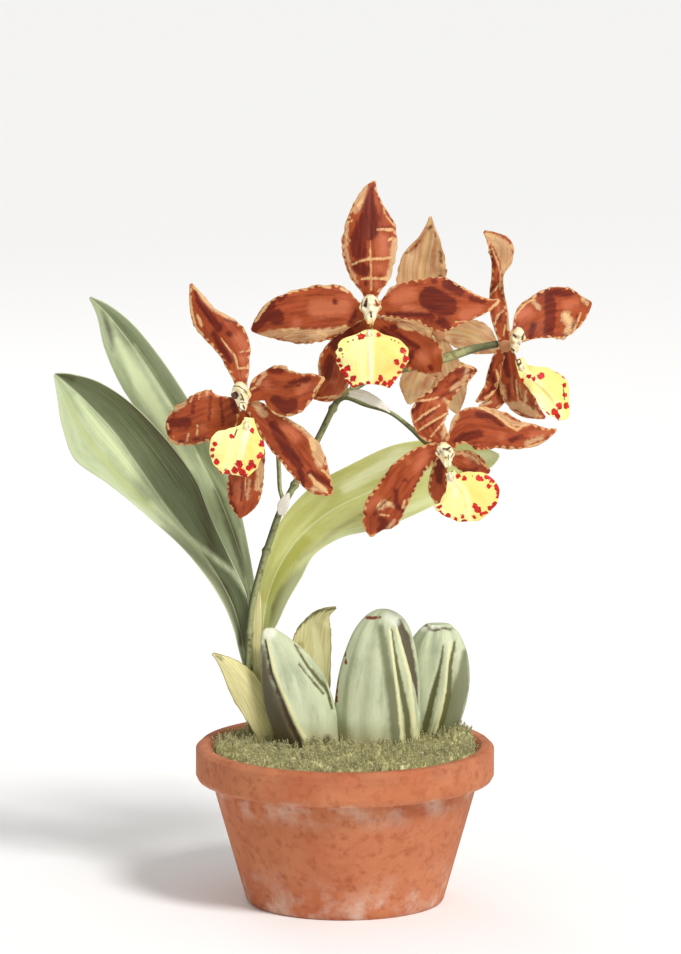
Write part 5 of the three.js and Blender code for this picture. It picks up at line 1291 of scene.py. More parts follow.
# Marks on the flowers, as seen from the front: a stroke is across, rise and half width at each of its points
# the light strokes are painted highlights; the other layers are the flowers' markings
markings = {
    "flower_1_tepal_1": {
        "dark": [(13, 277, 1, 12, 270, 2.5, 12.5, 262, 5, 10.5, 256.5, 6), (6.5, 252.5, 4, 7, 245.5, 4),
            (6, 238.5, 3, 9.5, 236.5, 3), (10.5, 230, 1.5), (16, 257.8, 0.3, 22.5, 257.8, 0.3)],
        "light": [(18.5, 251.5, 2.5, 18.5, 245.5, 3), (17.5, 237.5, 2.5), (15.5, 229.5, 1.5)],
        "tan": [(10.5, 277, 1, 7.5, 271.5, 2.2, 5.5, 267, 2), (24.5, 251, 1.5, 24, 241.5, 2, 22, 232.5, 2),
            (1, 259.5, 0.8, 0.5, 247.5, 0.8, 2.5, 237.5, 0.8, 6, 230.5, 0.8)],
        "pale": [(16, 256.5, 0.5, 23.5, 256.5, 0.7), (12.2, 251, 0.2, 12.8, 241.5, 0.6, 13, 226.5, 0.5),
            (2.5, 238.5, 0.3, 6.5, 240.5, 0.5, 12, 242, 0.7, 19, 242, 0.5, 23, 243, 0.4),
            (8, 232, 0.4, 12, 232.5, 0.6, 21.5, 232.2, 0.8), (0, 254, 0.5, 2.5, 251, 0.5),
            (0.5, 260, 0.5, 3.5, 261, 0.4), (19, 268, 0.4, 19.5, 264.5, 0.3),
            (21.5, 251, 0.6, 23.5, 252.5, 0.5), (8.5, 271, 0.7, 6.5, 268.5, 0.8),
            (20, 263.5, 0.3, 23, 260, 0.3)],
    },
    "flower_1_tepal_2": {
        "dark": [(-32, 223, 2.1), (-30.2, 224, 1.5),
            (-36.5, 219.5, 2.5, -39.5, 214.5, 3.5, -43.5, 209.5, 2.5, -45.5, 206.5, 1.2), (-34, 213.5, 4),
            (2.5, 211, 1.5, 5.5, 216.5, 1), (-5, 221, 1.5)],
        "light": [(-13.5, 217.5, 4.5, 0, 218.5, 3.5), (-24, 210.5, 2)],
        "tan": [(-43.5, 204.5, 1, -35, 205.5, 1.8, -25, 204, 3.2, -15, 204.5, 3, -7.5, 206, 2, 0.5, 207.5,
            1.2)],
        "pale": [(-44.5, 211, 0.4, -40.5, 216.5, 0.7, -37.5, 221, 0.7), (-34, 224, 0.5),
            (-28, 225.5, 0.7, -24.5, 227, 0.8), (-22.5, 227.5, 0.5, -18.5, 228, 0.6),
            (-11.5, 228.5, 0.7, -7.5, 227.8, 0.5), (-2, 227.5, 0.8, 1.5, 225.5, 0.5),
            (-43.5, 204.5, 0.4, -38.5, 204.5, 0.4), (-13.5, 206, 0.8, -9.5, 204.5, 0.8),
            (-31, 207, 0.5, -22.5, 207.8, 0.5), (-5.5, 207, 0.5, 0, 209, 0.5)],
    },
    "flower_1_tepal_3": {
        "dark": [(42.5, 222.5, 6, 50, 219, 5.5), (44, 231.5, 1.8), (51.5, 230, 3.5, 57, 226.5, 2.5),
            (20.5, 215, 0.9, 31.5, 214.5, 1.3, 42.5, 213.5, 2), (47.5, 211.5, 2.5, 52, 207.5, 1.8),
            (62.5, 222.5, 1.5, 69.5, 221, 0.8)],
        "light": [(25, 222.5, 3, 32.5, 224.5, 3), (60, 214.5, 3.5, 66.5, 217, 2),
            (30, 218, 1.5, 40, 217, 1)],
        "tan": [(58, 229, 0.8, 65, 225.5, 1, 72.5, 223.5, 1.2, 76.5, 222.5, 0.5), (20, 226, 1, 25, 229, 1)],
        "pale": [(59, 227.5, 0.5, 67.5, 224, 0.7, 75.5, 223, 0.8), (30.5, 230, 0.5), (39.5, 230.5, 0.5),
            (46.5, 233, 0.5), (55, 211, 0.5, 60.5, 211.5, 0.3), (76.5, 221.5, 0.7, 72.5, 218, 0.5),
            (26.5, 230.5, 0.5, 29.5, 231, 0.4)],
    },
    "flower_1_tepal_4": {
        "dark": [(0.5, 206, 4, -3.5, 200, 4), (-7.5, 192.5, 2.5, -9, 184, 2), (-13, 174.5, 1),
            (2.5, 208.5, 2, 5.5, 210, 1.5)],
        "light": [(-1.5, 176, 2.5), (-6, 181.5, 1.5)],
        "tan": [(-11.5, 201, 0.8, -13.8, 193.5, 1, -12.5, 185, 1),
            (2, 181.5, 1, -0.5, 174.5, 0.8, -7.5, 173.5, 0.5)],
        "pale": [(-13.5, 196.5, 0.5, -14, 190.5, 0.5, -13, 185, 0.3),
            (-13.5, 173.5, 0.3, -4.5, 174.5, 0.3)],
    },
    "flower_1_tepal_5": {
        "dark": [(20, 206, 3, 27.5, 203, 2.5, 35.5, 199, 1.5), (24, 208, 2),
            (31.5, 191.5, 1.5, 33.5, 196.5, 1.5), (42.5, 188.5, 1.5)],
        "light": [(39, 193.5, 3.5), (45.5, 196.5, 2)],
        "tan": [(27.5, 209.5, 1.5, 36.5, 208, 2, 44.5, 205.5, 2.5, 51, 202, 2), (20, 213, 1, 25, 212.5, 1),
            (41.5, 184.5, 0.8, 47, 185.5, 0.8)],
        "pale": [(20.5, 213.8, 0.5, 25, 214.2, 0.5, 32.5, 212, 0.4, 40, 209.5, 0.4),
            (42.5, 207.5, 1, 50.5, 203.5, 1), (36.5, 185, 0.3, 42.5, 183.2, 0.4, 47.5, 183.5, 0.4),
            (28.5, 208.5, 0.7, 33.5, 207, 0.5)],
    },
    "flower_1_lip": {
        "spot": [(8, 203.5, 1.8), (16.5, 204, 1.2), (29, 196.5, 1.6), (30, 192.5, 1.6), (25.5, 191, 1.5),
            (28.5, 189, 1.4), (27, 186, 1.1), (25, 183, 1.3), (22.5, 180.5, 1.8), (21.5, 178, 0.8),
            (17.5, 183, 1.6), (16, 180.5, 1.3), (19.5, 180.5, 1.3), (11.5, 180.5, 1.2), (8, 179.5, 1.4),
            (5, 178.5, 1.6), (2.5, 180, 1.4), (4, 183, 1.6), (1, 181.5, 1.1), (0, 184.5, 1.6),
            (1.5, 188, 1.6), (-1, 186.5, 1.4), (-2, 189.5, 1), (-3.2, 192, 1.4)],
        "dark": [(-2.2, 197, 1.1), (1.5, 201, 0.5), (4, 201.8, 0.5), (-1.2, 195, 0.5), (23, 202, 0.4),
            (24.5, 201.5, 0.4), (26.5, 200.5, 0.4), (27.5, 197.5, 0.4), (-1, 193.5, 0.3)],
        "tan": [(11.5, 200, 0.5, 12.5, 190, 0.8, 13, 181.5, 0.5)],
        "pale": [(18.5, 197.5, 1.5, 23.5, 194.5, 2), (22.5, 188.5, 1.5, 19.5, 186.5, 1.5)],
    },
    "flower_1_column": {
        "spot": [(15, 221.5, 0.3, 16.2, 219, 0.8), (9.5, 209, 0.7, 12, 207, 0.5)],
        "dark": [(10.8, 222.2, 0.4, 10, 219, 1), (12.8, 215, 0.4, 13, 213.2, 0.5),
            (8.5, 220.5, 0.2, 8, 217, 0.2), (16.5, 221, 0.2, 17.5, 217, 0.2)],
        "tan": [(8, 217, 0.5, 9.5, 214, 0.5), (17.5, 217.5, 0.5, 16, 214.5, 0.4), (12.5, 224, 0.5)],
        "pale": [(10.5, 211, 0.8, 13, 209.5, 1, 15.5, 211.5, 0.8)],
    },
    "flower_2_tepal_1": {
        "dark": [(-74.5, 226, 1, -72, 220, 1.5, -67, 213.5, 2, -63, 208, 2.5),
            (-64.5, 205, 1.8, -60.5, 197.5, 2, -56.5, 191.5, 1.5), (-60, 212, 0.5, -52.5, 210, 0.5),
            (-57.5, 205, 1.5)],
        "light": [(-52.5, 202.5, 2.5, -50, 199, 2), (-50, 184.5, 2), (-50.5, 192.5, 2)],
        "tan": [(-76, 229.5, 0.5, -71, 223.5, 1.5, -65.5, 218, 1.6, -58.5, 213.5, 1.2, -50, 209.5, 0.8),
            (-47, 207.5, 0.8, -45.5, 202, 1, -45.5, 194.5, 1, -46.5, 187.5, 0.8)],
        "pale": [(-75, 229, 0.5, -70, 222.5, 0.6, -65, 217.5, 0.6, -58.5, 213, 0.4),
            (-46.5, 205, 0.5, -45.8, 197.5, 0.7, -47, 189.5, 0.7), (-53, 187.8, 0.5, -46.5, 188, 0.5),
            (-52.5, 196, 0.3, -46.5, 196.5, 0.5),
            (-61.5, 203, 0.3, -58, 198, 0.5, -54.5, 194, 0.5, -53, 188, 0.5),
            (-77, 222.5, 0.5, -76, 216, 0.6, -74, 208.5, 0.6, -70.5, 204.5, 0.6),
            (-73, 214, 0.7, -71, 209, 0.5)],
    },
    "flower_2_tepal_2": {
        "dark": [(-86, 160.5, 2.5, -78.5, 161.5, 2.5), (-87.5, 156, 1.5), (-81.5, 151, 1.6),
            (-74.5, 152.8, 1.1, -72.5, 153, 0.8), (-70, 153, 0.8, -68, 153.2, 0.7),
            (-75, 170.5, 0.9, -75.5, 166.5, 0.9), (-61.5, 172.5, 0.8, -60.5, 160, 0.8),
            (-56.5, 175, 1.5, -54, 166.5, 1.5), (-66.5, 173.5, 0.6, -67.5, 162.5, 0.6),
            (-56.5, 157.5, 1, -60.5, 155, 0.8)],
        "light": [(-66.5, 166.5, 1.3), (-70, 174.5, 1.5, -62.5, 176, 1.5), (-70.5, 158.5, 1)],
        "tan": [(-84.5, 169, 2.8, -80.5, 170.5, 2), (-78, 175, 1, -72.5, 177, 0.8),
            (-86.5, 152, 0.8, -77.5, 149, 0.8, -66.5, 151.5, 0.8, -59.5, 152.5, 0.5), (-88.5, 160, 0.5)],
        "pale": [(-74.5, 176, 0.3, -76.5, 171.5, 0.4), (-71.5, 177, 0.3, -72.5, 172.5, 0.4),
            (-68, 178, 0.3, -68.5, 174.5, 0.3), (-73, 160, 0.4, -73.5, 155, 0.5),
            (-88, 160.5, 0.5, -87.5, 158, 0.5), (-77.5, 155.5, 0.4, -78.5, 152, 0.4), (-85, 154, 0.4)],
    },
    "flower_2_tepal_3": {
        "dark": [(-34.5, 172, 2.5, -29, 168.5, 3.5, -26, 170, 3), (-27.5, 180.5, 1, -18.5, 182.5, 1.5),
            (-37, 186.5, 1.3, -31.5, 186, 1.5), (-30, 178.5, 0.5, -22.5, 179.5, 0.5),
            (-45, 177, 0.5, -43, 177.5, 0.5)],
        "light": [(-22.5, 176.5, 2, -18.5, 179.5, 1.5), (-38.5, 179.5, 2)],
        "tan": [(-32, 189, 1, -27, 187, 1.1, -20, 186.5, 1.1, -12.5, 185.5, 1.1, -10.5, 183, 0.8),
            (-43.5, 180, 0.8, -39.5, 185, 0.8), (-41, 170.5, 0.7, -37, 166, 0.7, -31, 164, 0.7)],
        "pale": [(-32, 190, 0.5, -26.5, 187, 0.6, -17.5, 186.5, 0.6, -11.5, 185, 0.7, -11, 182.5, 0.6, -15,
            176.5, 0.5), (-41, 171.5, 0.4, -36.5, 166, 0.5, -30.5, 164, 0.4),
            (-46.5, 177.5, 0.6, -44.5, 178.5, 0.5)],
    },
    "flower_2_tepal_4": {
        "dark": [(-56.5, 120.5, 1.5, -54.5, 116.5, 1.2), (-57.5, 132.5, 0.8, -56.5, 125.5, 0.8),
            (-51, 131, 0.5, -51.5, 122.5, 0.5), (-45, 137.5, 0.5, -46.5, 129.5, 0.5)],
        "light": [(-52.5, 129.5, 2, -53, 122.5, 1.5)],
        "tan": [(-43.5, 141, 1.8, -42, 135, 1.8, -44, 128.5, 1.5), (-47.5, 132.5, 0.7, -48.5, 123.5, 0.7)],
        "pale": [(-41.5, 141.5, 0.5, -40.5, 135, 0.4), (-49, 135, 0.4, -49.5, 127.5, 0.4)],
    },
    "flower_2_tepal_5": {
        "dark": [(-36, 160, 2.2, -31, 151.5, 2.8, -27, 145, 2.8, -22.5, 140, 2),
            (-22.5, 137.5, 1.5, -21, 131.5, 1.5), (-17, 136, 1.8, -12, 133.5, 1.8, -7, 129.5, 1.3),
            (-22, 159.5, 0.8, -20.5, 159.2, 0.7), (-20, 157.2, 0.8, -19, 157.2, 0.7), (-17, 155.2, 0.6)],
        "light": [(-30, 159, 2, -24, 153.5, 2)],
        "tan": [(-44.5, 170.5, 1.8, -40.5, 165.5, 2),
            (-27.5, 163, 1.5, -20, 158, 2, -15, 152.5, 2.5, -13.5, 146.5, 3.2, -12.5, 140.5, 2),
            (-14, 130.5, 1.5, -10, 128, 1.3, -16.5, 128, 1.3)],
        "pale": [(-16.5, 152.5, 1.3, -15.5, 148.5, 1.5), (-17.5, 135, 0.7, -14.5, 131, 1, -9, 126.5, 0.7),
            (-11.5, 137.5, 0.5, -6.5, 133.5, 0.8, -5, 129, 0.5)],
    },
    "flower_2_lip": {
        "spot": [(-64.5, 150.5, 1.2), (-65.5, 147.5, 1.2), (-65.5, 144.5, 1), (-63.5, 141.5, 1.5),
            (-64, 137.5, 1.2), (-62.5, 135.5, 1.6), (-60, 134, 1.2), (-58.5, 136.5, 1.6), (-56.5, 135, 1),
            (-54.5, 137.5, 1.8), (-52.5, 140.5, 1.9), (-51, 136.5, 1.9), (-49.5, 134.5, 1.3),
            (-46.5, 141, 1.6), (-47.5, 138.5, 1.6), (-45, 139.5, 1.2), (-42, 144.5, 1.6), (-41, 150.5, 1.8),
            (-40, 156, 1.3), (-46, 157, 1.2), (-56, 154, 1.3)],
        "dark": [(-51, 166, 1.5, -51, 163, 1.2), (-52, 160.5, 0.6), (-53.5, 157.5, 0.4, -54.5, 154.5, 0.4)],
        "tan": [(-47.5, 158.5, 1.2, -49.5, 150.5, 0.8, -51, 143.5, 0.5)],
        "pale": [(-47.5, 153.5, 1.2, -46.5, 146.5, 1.3)],
    },
    "flower_2_column": {
        "dark": [(-54.5, 174.2, 1.9), (-51.5, 175, 0.4, -50, 172, 0.4),
            (-52, 170.5, 0.2, -52.5, 168.5, 0.3, -51, 167, 0.3, -48.5, 167, 0.3, -47.8, 169, 0.2, -49.5,
                170.8, 0.2, -51.5, 170.8, 0.2), (-50.5, 169.5, 0.4, -49.8, 168, 0.4),
            (-56, 179, 0.2, -52.5, 178.8, 0.3, -49.5, 177, 0.2, -47.5, 173.5, 0.2),
            (-58, 175, 0.2, -56.5, 171.5, 0.2)],
        "tan": [(-47.5, 171, 0.5, -46.5, 168, 0.5)],
        "pale": [(-46.5, 174.5, 0.6, -48, 177, 0.4), (-51, 165, 0.5)],
    },
    "flower_3_tepal_1": {
        "dark": [(71, 248.5, 0.6, 73, 243.5, 0.8, 75, 239, 0.7), (75, 230.5, 0.8, 73.5, 225.5, 0.6),
            (77, 212, 1.1, 78, 216, 0.7)],
        "light": [(76, 222.5, 1.5, 77.5, 213.5, 1.5)],
        "tan": [(70.5, 254, 1.5, 75, 251.5, 3, 79, 247.5, 4, 80, 241.5, 3, 79, 236, 1.3)],
        "pale": [(73, 248, 0.4, 76, 241.5, 0.5, 77.5, 235, 0.4, 77.5, 227.5, 0.3),
            (70, 255, 0.7, 73.5, 253, 0.8), (80, 227.5, 0.5, 81.5, 217.5, 0.5, 81.5, 207.5, 0.6),
            (72.5, 224.5, 0.4, 77.5, 230.5, 0.3), (74.5, 209.5, 0.3, 76, 214.5, 0.4, 79, 217, 0.4),
            (80, 210, 0.4, 79, 204.5, 0.4), (71.5, 215.5, 0.3, 73.5, 208.5, 0.3)],
    },
    "flower_3_tepal_2": {
        "dark": [(73, 194, 1.5, 72, 187.5, 1.8, 74.5, 182, 1.3),
            (74.5, 178.5, 1, 70.5, 176, 0.7, 67.5, 173, 0.5)],
        "pale": [(75.5, 187.5, 0.5, 77.5, 180.5, 0.6, 75.5, 176.5, 0.7, 70, 173.5, 0.5)],
    },
    "flower_3_tepal_3": {
        "dark": [(101.5, 227.5, 2, 102.5, 220, 3, 102.5, 212.5, 3, 101.5, 206, 2.5), (97, 226, 1.4),
            (101, 228.8, 1.1), (94, 210, 1.5, 92, 203, 1.2),
            (105.5, 226.5, 2, 112, 226, 1.7, 116.5, 227.5, 1.1), (114, 209, 0.8, 114.5, 211, 0.8),
            (116, 215.5, 0.7, 117, 213, 0.5), (109.5, 205, 0.8, 111.5, 204.8, 0.5), (87.5, 224.5, 0.4)],
        "light": [(87.5, 214.5, 2.5, 92, 216.5, 2), (111, 220, 2.5, 115, 221.5, 1.8)],
        "tan": [(110.5, 214, 2.8, 113, 210, 2.5, 110.5, 206, 1.5), (94, 221.5, 1.3, 96.5, 218.5, 1.3),
            (119.5, 223, 1.3, 121.5, 221, 0.9), (117.5, 227.5, 0.8, 119.5, 224.5, 0.7),
            (115.5, 205.5, 0.8, 107.5, 203, 0.8, 100, 203, 0.5)],
        "pale": [(110, 215, 1.1, 112, 212, 1.2), (119, 227.5, 0.5, 121.5, 224, 0.5),
            (84, 213.5, 0.4, 89.5, 220, 0.5, 94, 223, 0.4),
            (118, 216.5, 0.4, 116.5, 211.5, 0.4, 114, 206, 0.4)],
    },
    "flower_3_tepal_4": {
        "light": [(75.5, 172.5, 1.5)], "tan": [(67.5, 170, 0.8, 72.5, 171.5, 0.8)],
        "pale": [(74, 186.5, 0.4, 75.5, 180, 0.4), (76, 194, 0.5, 74.5, 187.5, 0.4)],
    },
    "flower_3_tepal_5": {
        "dark": [(79, 196.5, 1.3, 80, 191.5, 1.8, 81.5, 185, 1.5), (81.5, 180, 0.8, 82, 174, 0.7),
            (84.5, 184.5, 0.5, 85.5, 175.5, 0.5), (88, 179.5, 0.4, 89.5, 172.5, 0.4),
            (92.5, 173.5, 0.4, 94, 168.5, 0.4)],
        "light": [(83.5, 183.5, 1.5, 84.5, 177.5, 1.5)],
        "tan": [(81.5, 170, 1.7, 87.5, 170, 2.5, 93.5, 166.5, 2.2, 97.5, 164.5, 0.9),
            (87.5, 179.5, 0.7, 90, 172.5, 1.2), (79, 180, 0.5, 80, 173.5, 0.8)],
        "pale": [(90.5, 177.5, 0.3, 89.5, 170, 0.4), (85.5, 182.5, 0.3, 86.5, 172.5, 0.3),
            (77.5, 192.5, 0.5, 77.5, 182.5, 0.5, 79, 175.5, 0.5)],
    },
    "flower_3_lip": {
        "spot": [(91.5, 184, 1), (94, 183, 1), (97.5, 184, 1.9), (88, 182, 1.3), (106, 186.5, 1.2),
            (109.5, 184.5, 1.4), (109, 179.5, 1.2), (109, 175, 1.3), (110, 169.5, 1.5), (106.5, 169.5, 1.6),
            (104, 166.5, 1.8), (106, 164.5, 1.4), (100.5, 165, 1.4), (103, 163, 1.1), (105, 162, 1.3)],
        "dark": [(86, 192.5, 1.2, 88, 188.5, 1.5), (98, 168, 0.5), (91, 178, 0.3, 89.5, 179.5, 0.3),
            (108.5, 177.5, 0.3, 109, 172.5, 0.3)],
        "pale": [(100, 177.5, 2, 103.5, 173.5, 2)],
    },
    "flower_3_column": {
        "dark": [(84.5, 204, 0.7, 83.5, 205, 0.5), (88.8, 205, 0.5, 88.2, 202.5, 0.6),
            (82.5, 198, 0.5, 84, 197, 0.5), (89, 195, 0.5, 91, 193.5, 0.5),
            (86.5, 192.8, 0.3, 92, 192.5, 0.3), (89.5, 197.5, 0.3, 91.5, 197.8, 0.3),
            (80, 204, 0.2, 86, 208.5, 0.3), (87, 200, 0.3, 88.5, 199, 0.3)],
        "tan": [(83.5, 201, 0.9)], "pale": [(87, 196.5, 0.9, 89.5, 194, 0.9)],
    },
    "flower_4_tepal_1": {
        "dark": [(33.5, 167, 1.5, 37.5, 170.5, 1.2), (55, 185.5, 1.3, 58.5, 187.5, 1.3),
            (40, 175, 0.8, 45.5, 177.5, 0.8), (50.5, 180.5, 0.3, 52.5, 187.5, 0.3, 56, 191, 0.3),
            (50, 178.5, 0.4, 57.5, 183.5, 0.5, 63.5, 187.5, 0.5),
            (47.5, 173.8, 0.3, 55, 177, 0.4, 62.5, 183.5, 0.3, 65, 187, 0.2),
            (37.5, 162, 0.8, 43.5, 166.5, 0.8), (39.5, 157.5, 0.6, 45.5, 162, 0.6)],
        "light": [(43.5, 171.5, 1.2, 47.5, 170, 1), (42.5, 163.5, 1)],
        "tan": [(57, 190.5, 1.2, 60.5, 186.5, 1.3, 58.5, 181, 1.3, 52.5, 177, 1),
            (49, 172.5, 0.8, 52, 169.5, 1.5, 51.5, 164.5, 1.5, 49.5, 159, 1.2, 48.5, 153.5, 1)],
        "pale": [(32.5, 159.5, 0.3, 38.5, 164.5, 0.5, 46.5, 169.5, 0.5),
            (35, 156, 0.3, 42.5, 161, 0.5, 50.5, 165.5, 0.4),
            (42.5, 154, 0.4, 46.5, 158.5, 0.5, 50.5, 163.5, 0.5),
            (51, 171.5, 0.5, 53, 167.5, 0.7, 51, 161.5, 0.5, 49, 154, 0.4),
            (33.5, 171.5, 0.3, 40, 172, 0.5, 46.5, 173.5, 0.4), (57.5, 192, 0.4, 63.5, 187.5, 0.4)],
    },
    "flower_4_tepal_2": {
        "dark": [(17.5, 113, 1.5, 19.5, 111.5, 2.2, 17, 107.5, 1.3),
            (25, 127.5, 1.3, 25.5, 120.5, 1.5, 28, 117.5, 1),
            (23.5, 124, 0.5, 16.5, 119, 0.5, 14.5, 115.5, 0.5),
            (21.5, 137.5, 0.5, 15, 128.5, 0.8, 10, 122.5, 0.6),
            (39.5, 138.5, 0.7, 35, 130, 0.7, 32.5, 124, 0.5), (7, 118, 0.8, 10, 115.5, 1), (30, 132.5, 1)],
        "light": [(40, 145, 2, 35.5, 138.5, 2), (16, 123.5, 1.3, 10.5, 118.5, 1.3), (31.5, 141.5, 1)],
        "tan": [(16.5, 118.5, 1.3, 20, 121, 1.8, 23.5, 120, 1.3), (24, 112.5, 0.8, 21.5, 108.5, 1.3)],
        "pale": [(21.5, 121, 1), (18, 122.5, 0.4, 16, 119.5, 0.5), (29.5, 122.5, 0.5, 28.5, 119, 0.6),
            (21.5, 115, 0.4, 17.5, 115.5, 0.4)],
    },
    "flower_4_tepal_3": {
        "dark": [(55, 152, 1.7, 60, 154, 2.5, 66.5, 155.5, 2), (61.5, 147.5, 0.9),
            (65.5, 165, 1.5, 72.5, 163.5, 1.5, 77.5, 159.5, 1), (64.5, 149, 0.7), (67.5, 149.5, 0.6),
            (82.5, 152.5, 1.5, 87.5, 154.5, 1)],
        "light": [(92.5, 154.5, 1.5, 100, 156.5, 1.5), (77.5, 153.5, 1.5)],
        "tan": [(60, 168.5, 0.8, 67.5, 169, 0.9, 73.5, 167, 1.1, 78.5, 163.5, 1.1, 83.5, 160.5, 1.3, 87.5,
            160, 1.3, 92.5, 161, 0.8), (90, 151, 1.3, 97.5, 153.5, 1), (52, 159, 1.3, 55.5, 165, 1.3)],
        "pale": [(59.5, 169, 0.5, 67.5, 168, 0.5, 75, 164.5, 0.5, 81, 159.5, 0.6, 85, 157.5, 0.7, 89.5, 160,
            0.5), (97.5, 151.5, 0.4, 87.5, 147.5, 0.5), (63, 150, 0.3), (66, 150.5, 0.3),
            (51.5, 156.5, 0.4, 50.5, 152.5, 0.4)],
    },
    "flower_4_tepal_4": {"dark": [(46.5, 141, 2.2, 46.5, 132.5, 1.8)]},
    "flower_4_tepal_5": {
        "dark": [(59, 137, 1.2, 65, 138, 1)], "light": [(60.5, 142.5, 1.7)],
        "tan": [(55, 146, 0.8, 61.5, 145, 0.8, 66.5, 141, 0.7)],
        "pale": [(62.5, 146.5, 0.3, 69.5, 139.5, 0.3)],
    },
    "flower_4_lip": {
        "spot": [(56, 134.5, 1.2), (59, 133.5, 1.2), (66, 133.5, 1.4), (67.5, 133, 1.2), (70, 134, 1.4),
            (73, 132.5, 1.6), (71, 129.5, 1.2), (75, 129, 1.6), (76, 126.5, 1.4), (75.5, 124.5, 1),
            (74, 120.5, 1.4), (72, 118.5, 1.6), (69.5, 116.5, 1), (67.5, 115.5, 1.1), (65.5, 118, 1.8),
            (64, 120, 1.3), (63.5, 114.5, 1), (59, 112, 1.4), (58, 114.5, 1.1), (54.5, 113, 1.1),
            (51, 115, 1.4), (48, 115.5, 1.1), (47, 116.5, 1), (46.5, 119.5, 1.4), (45.5, 125.5, 1.3),
            (47.5, 128.5, 1.5)],
        "dark": [(49.5, 137, 0.6, 53, 137, 0.6), (45.2, 122.5, 0.5), (63, 134.5, 0.4)],
        "tan": [(50.5, 135, 1.5, 52.5, 132, 1.5), (54, 129, 1, 55, 124.5, 0.6)],
        "pale": [(62.5, 127.5, 1.5, 66.5, 123.5, 2), (60, 120, 1)],
    },
    "flower_4_column": {
        "dark": [(48.5, 148, 0.5, 50.5, 147.6, 0.7, 52, 148.8, 0.4), (51, 145.5, 0.2, 51, 142.5, 0.3),
            (53.5, 146, 0.2, 52.2, 143.5, 0.2), (52.5, 141.5, 0.3, 54.5, 141.8, 0.3),
            (45, 147, 0.4, 46.5, 145, 0.3), (48, 137.5, 0.3, 52.5, 137.5, 0.3),
            (46.5, 149.5, 0.2, 48, 152, 0.2)],
        "tan": [(53, 148.5, 0.4, 54, 151, 0.4)], "pale": [(49.5, 142.5, 0.6, 48, 144.5, 0.5)],
    },
    "flower_5_tepal_1": {
        "dark": [(45.5, 255, 0.6, 45, 256.5, 0.4), (48, 247, 0.7, 48.5, 241.5, 0.7), (48, 234.5, 0.7),
            (43, 259.5, 0.5, 42, 258, 0.5), (29.5, 245.5, 0.2, 35, 249, 0.3, 37.5, 252.5, 0.2)],
        "light": [(33.5, 247.5, 0.8, 37.5, 252.5, 1, 40.5, 258.5, 0.8), (46.5, 251, 0.6),
            (44, 247.5, 1, 44.5, 237.5, 1)],
        "pale": [(40.5, 254.5, 0.3, 38.5, 242.5, 0.7, 37.5, 231, 0.9),
            (47.5, 254.5, 0.5, 50, 243.5, 0.9, 50.5, 235, 0.9), (41.5, 263, 0.8, 43, 261.5, 0.6),
            (28, 240, 0.7, 26.5, 232.5, 0.7)],
    },
    "flower_5_tepal_2": {"light": [(25, 205, 1.5)]},
    "flower_5_tepal_3": {
        "dark": [(62.5, 195.5, 0.4, 66.5, 195, 0.5, 71.5, 195.5, 0.4)],
        "light": [(63.5, 197.5, 1.2, 71.5, 197, 1.2), (55, 202.5, 1)],
        "pale": [(57.5, 208.5, 1, 65, 206.5, 1), (53.5, 199.5, 0.5)],
    },
    "flower_5_tepal_4": {
        "light": [(40, 180, 1.3, 43.5, 185, 1)],
        "pale": [(31.5, 181, 1.3, 34, 178.5, 1), (29, 184.5, 0.5, 30, 176.5, 0.5)],
    },
    "flower_5_tepal_5": {"light": [(51.5, 175, 1)], "pale": [(55, 173.5, 0.5, 56, 168.5, 0.5)]},
}


def tepalFinish():
    material, tree, shader = newMaterial("tepalBrown")
    over, along, rear, rim = (fromMesh(tree, key) for key in ("over", "along", "rear", "rim"))
    lines = drawn(tree, over, 0.55, 0.07)
    fine = drawn(tree, over, 2.2, 0.12)
    brushed = times(tree, maths(tree, "SUBTRACT", fine, 0.5), 2.4)
    rib = maths(tree, "ABSOLUTE", over)

    def stroke(layer, wanderBy, soft, grain=500.0):
        return marked(tree, layer, wanderBy, soft, grain, times(tree, brushed, soft + 0.3))

    front = blend(tree, span(tree, lines, 0.35, 0.65), "#8A3615", "#A94C26")
    front = blend(tree, patches(tree, 80.0, 0.5, 0.75), front, "#A24C1D")
    front = blend(tree, span(tree, fine, 0.5, 0.3, 0.0, 0.35), front, "#752A0E")
    back = blend(tree, span(tree, lines, 0.35, 0.65), "#C99769", "#DDBB90")
    back = blend(tree, span(tree, rib, 1.6, 0.4, 0.0, 0.5), back, "#DDC78A")
    colour = blend(tree, rear, front, back)
    # painted highlights: the light strokes lighten the tepals where they catch the light
    lit = blend(tree, rear, "#C46C48", "#B0663C")
    colour = coat(tree, colour, stroke("light", 0.6, 2.2), 0.75, lit)
    tanColour = blend(tree, span(tree, fine, 0.35, 0.65), "#B98558", "#D9B387")
    colour = coat(tree, colour, stroke("tan", 0.7, 0.8), 0.92, tanColour)
    darkColour = blend(tree, span(tree, lines, 0.35, 0.65), "#561204", "#6F1F08")
    colour = coat(tree, colour, stroke("dark", 0.5, 0.9), 0.93, darkColour)
    colour = coat(tree, colour, stroke("pale", 0.25, 0.4), 0.88, "#E0B47C")
    # the pale margin, with scallops of the darker colour reaching into it
    beat = maths(tree, "SINE", maths(tree, "MULTIPLY_ADD", lines, 9.0, times(tree, along, 1.75)))
    shore = patches(tree, 90.0, 0.3, 0.7)
    width = times(tree, span(tree, beat, -0.9, 0.9, 0.2, 1.5), span(tree, shore, 0.2, 0.8, 0.3, 1.15))
    margin = maths(tree, "SUBTRACT", rim, width)
    colour = blend(tree, span(tree, margin, 0.25, -0.15, 0.0, 0.85), colour, "#D3A36C")
    edge = times(tree, span(tree, rim, 0.22, 0.06), 0.5)
    colour = blend(tree, edge, colour, "#8A5426")
    relief(tree, shader, maths(tree, "MULTIPLY_ADD", fine, 0.5, lines), 0.0005, 0.55)
    finish(tree, shader, colour, span(tree, fine, 0.3, 0.7, 0.46, 0.62), 0.22)
    return material


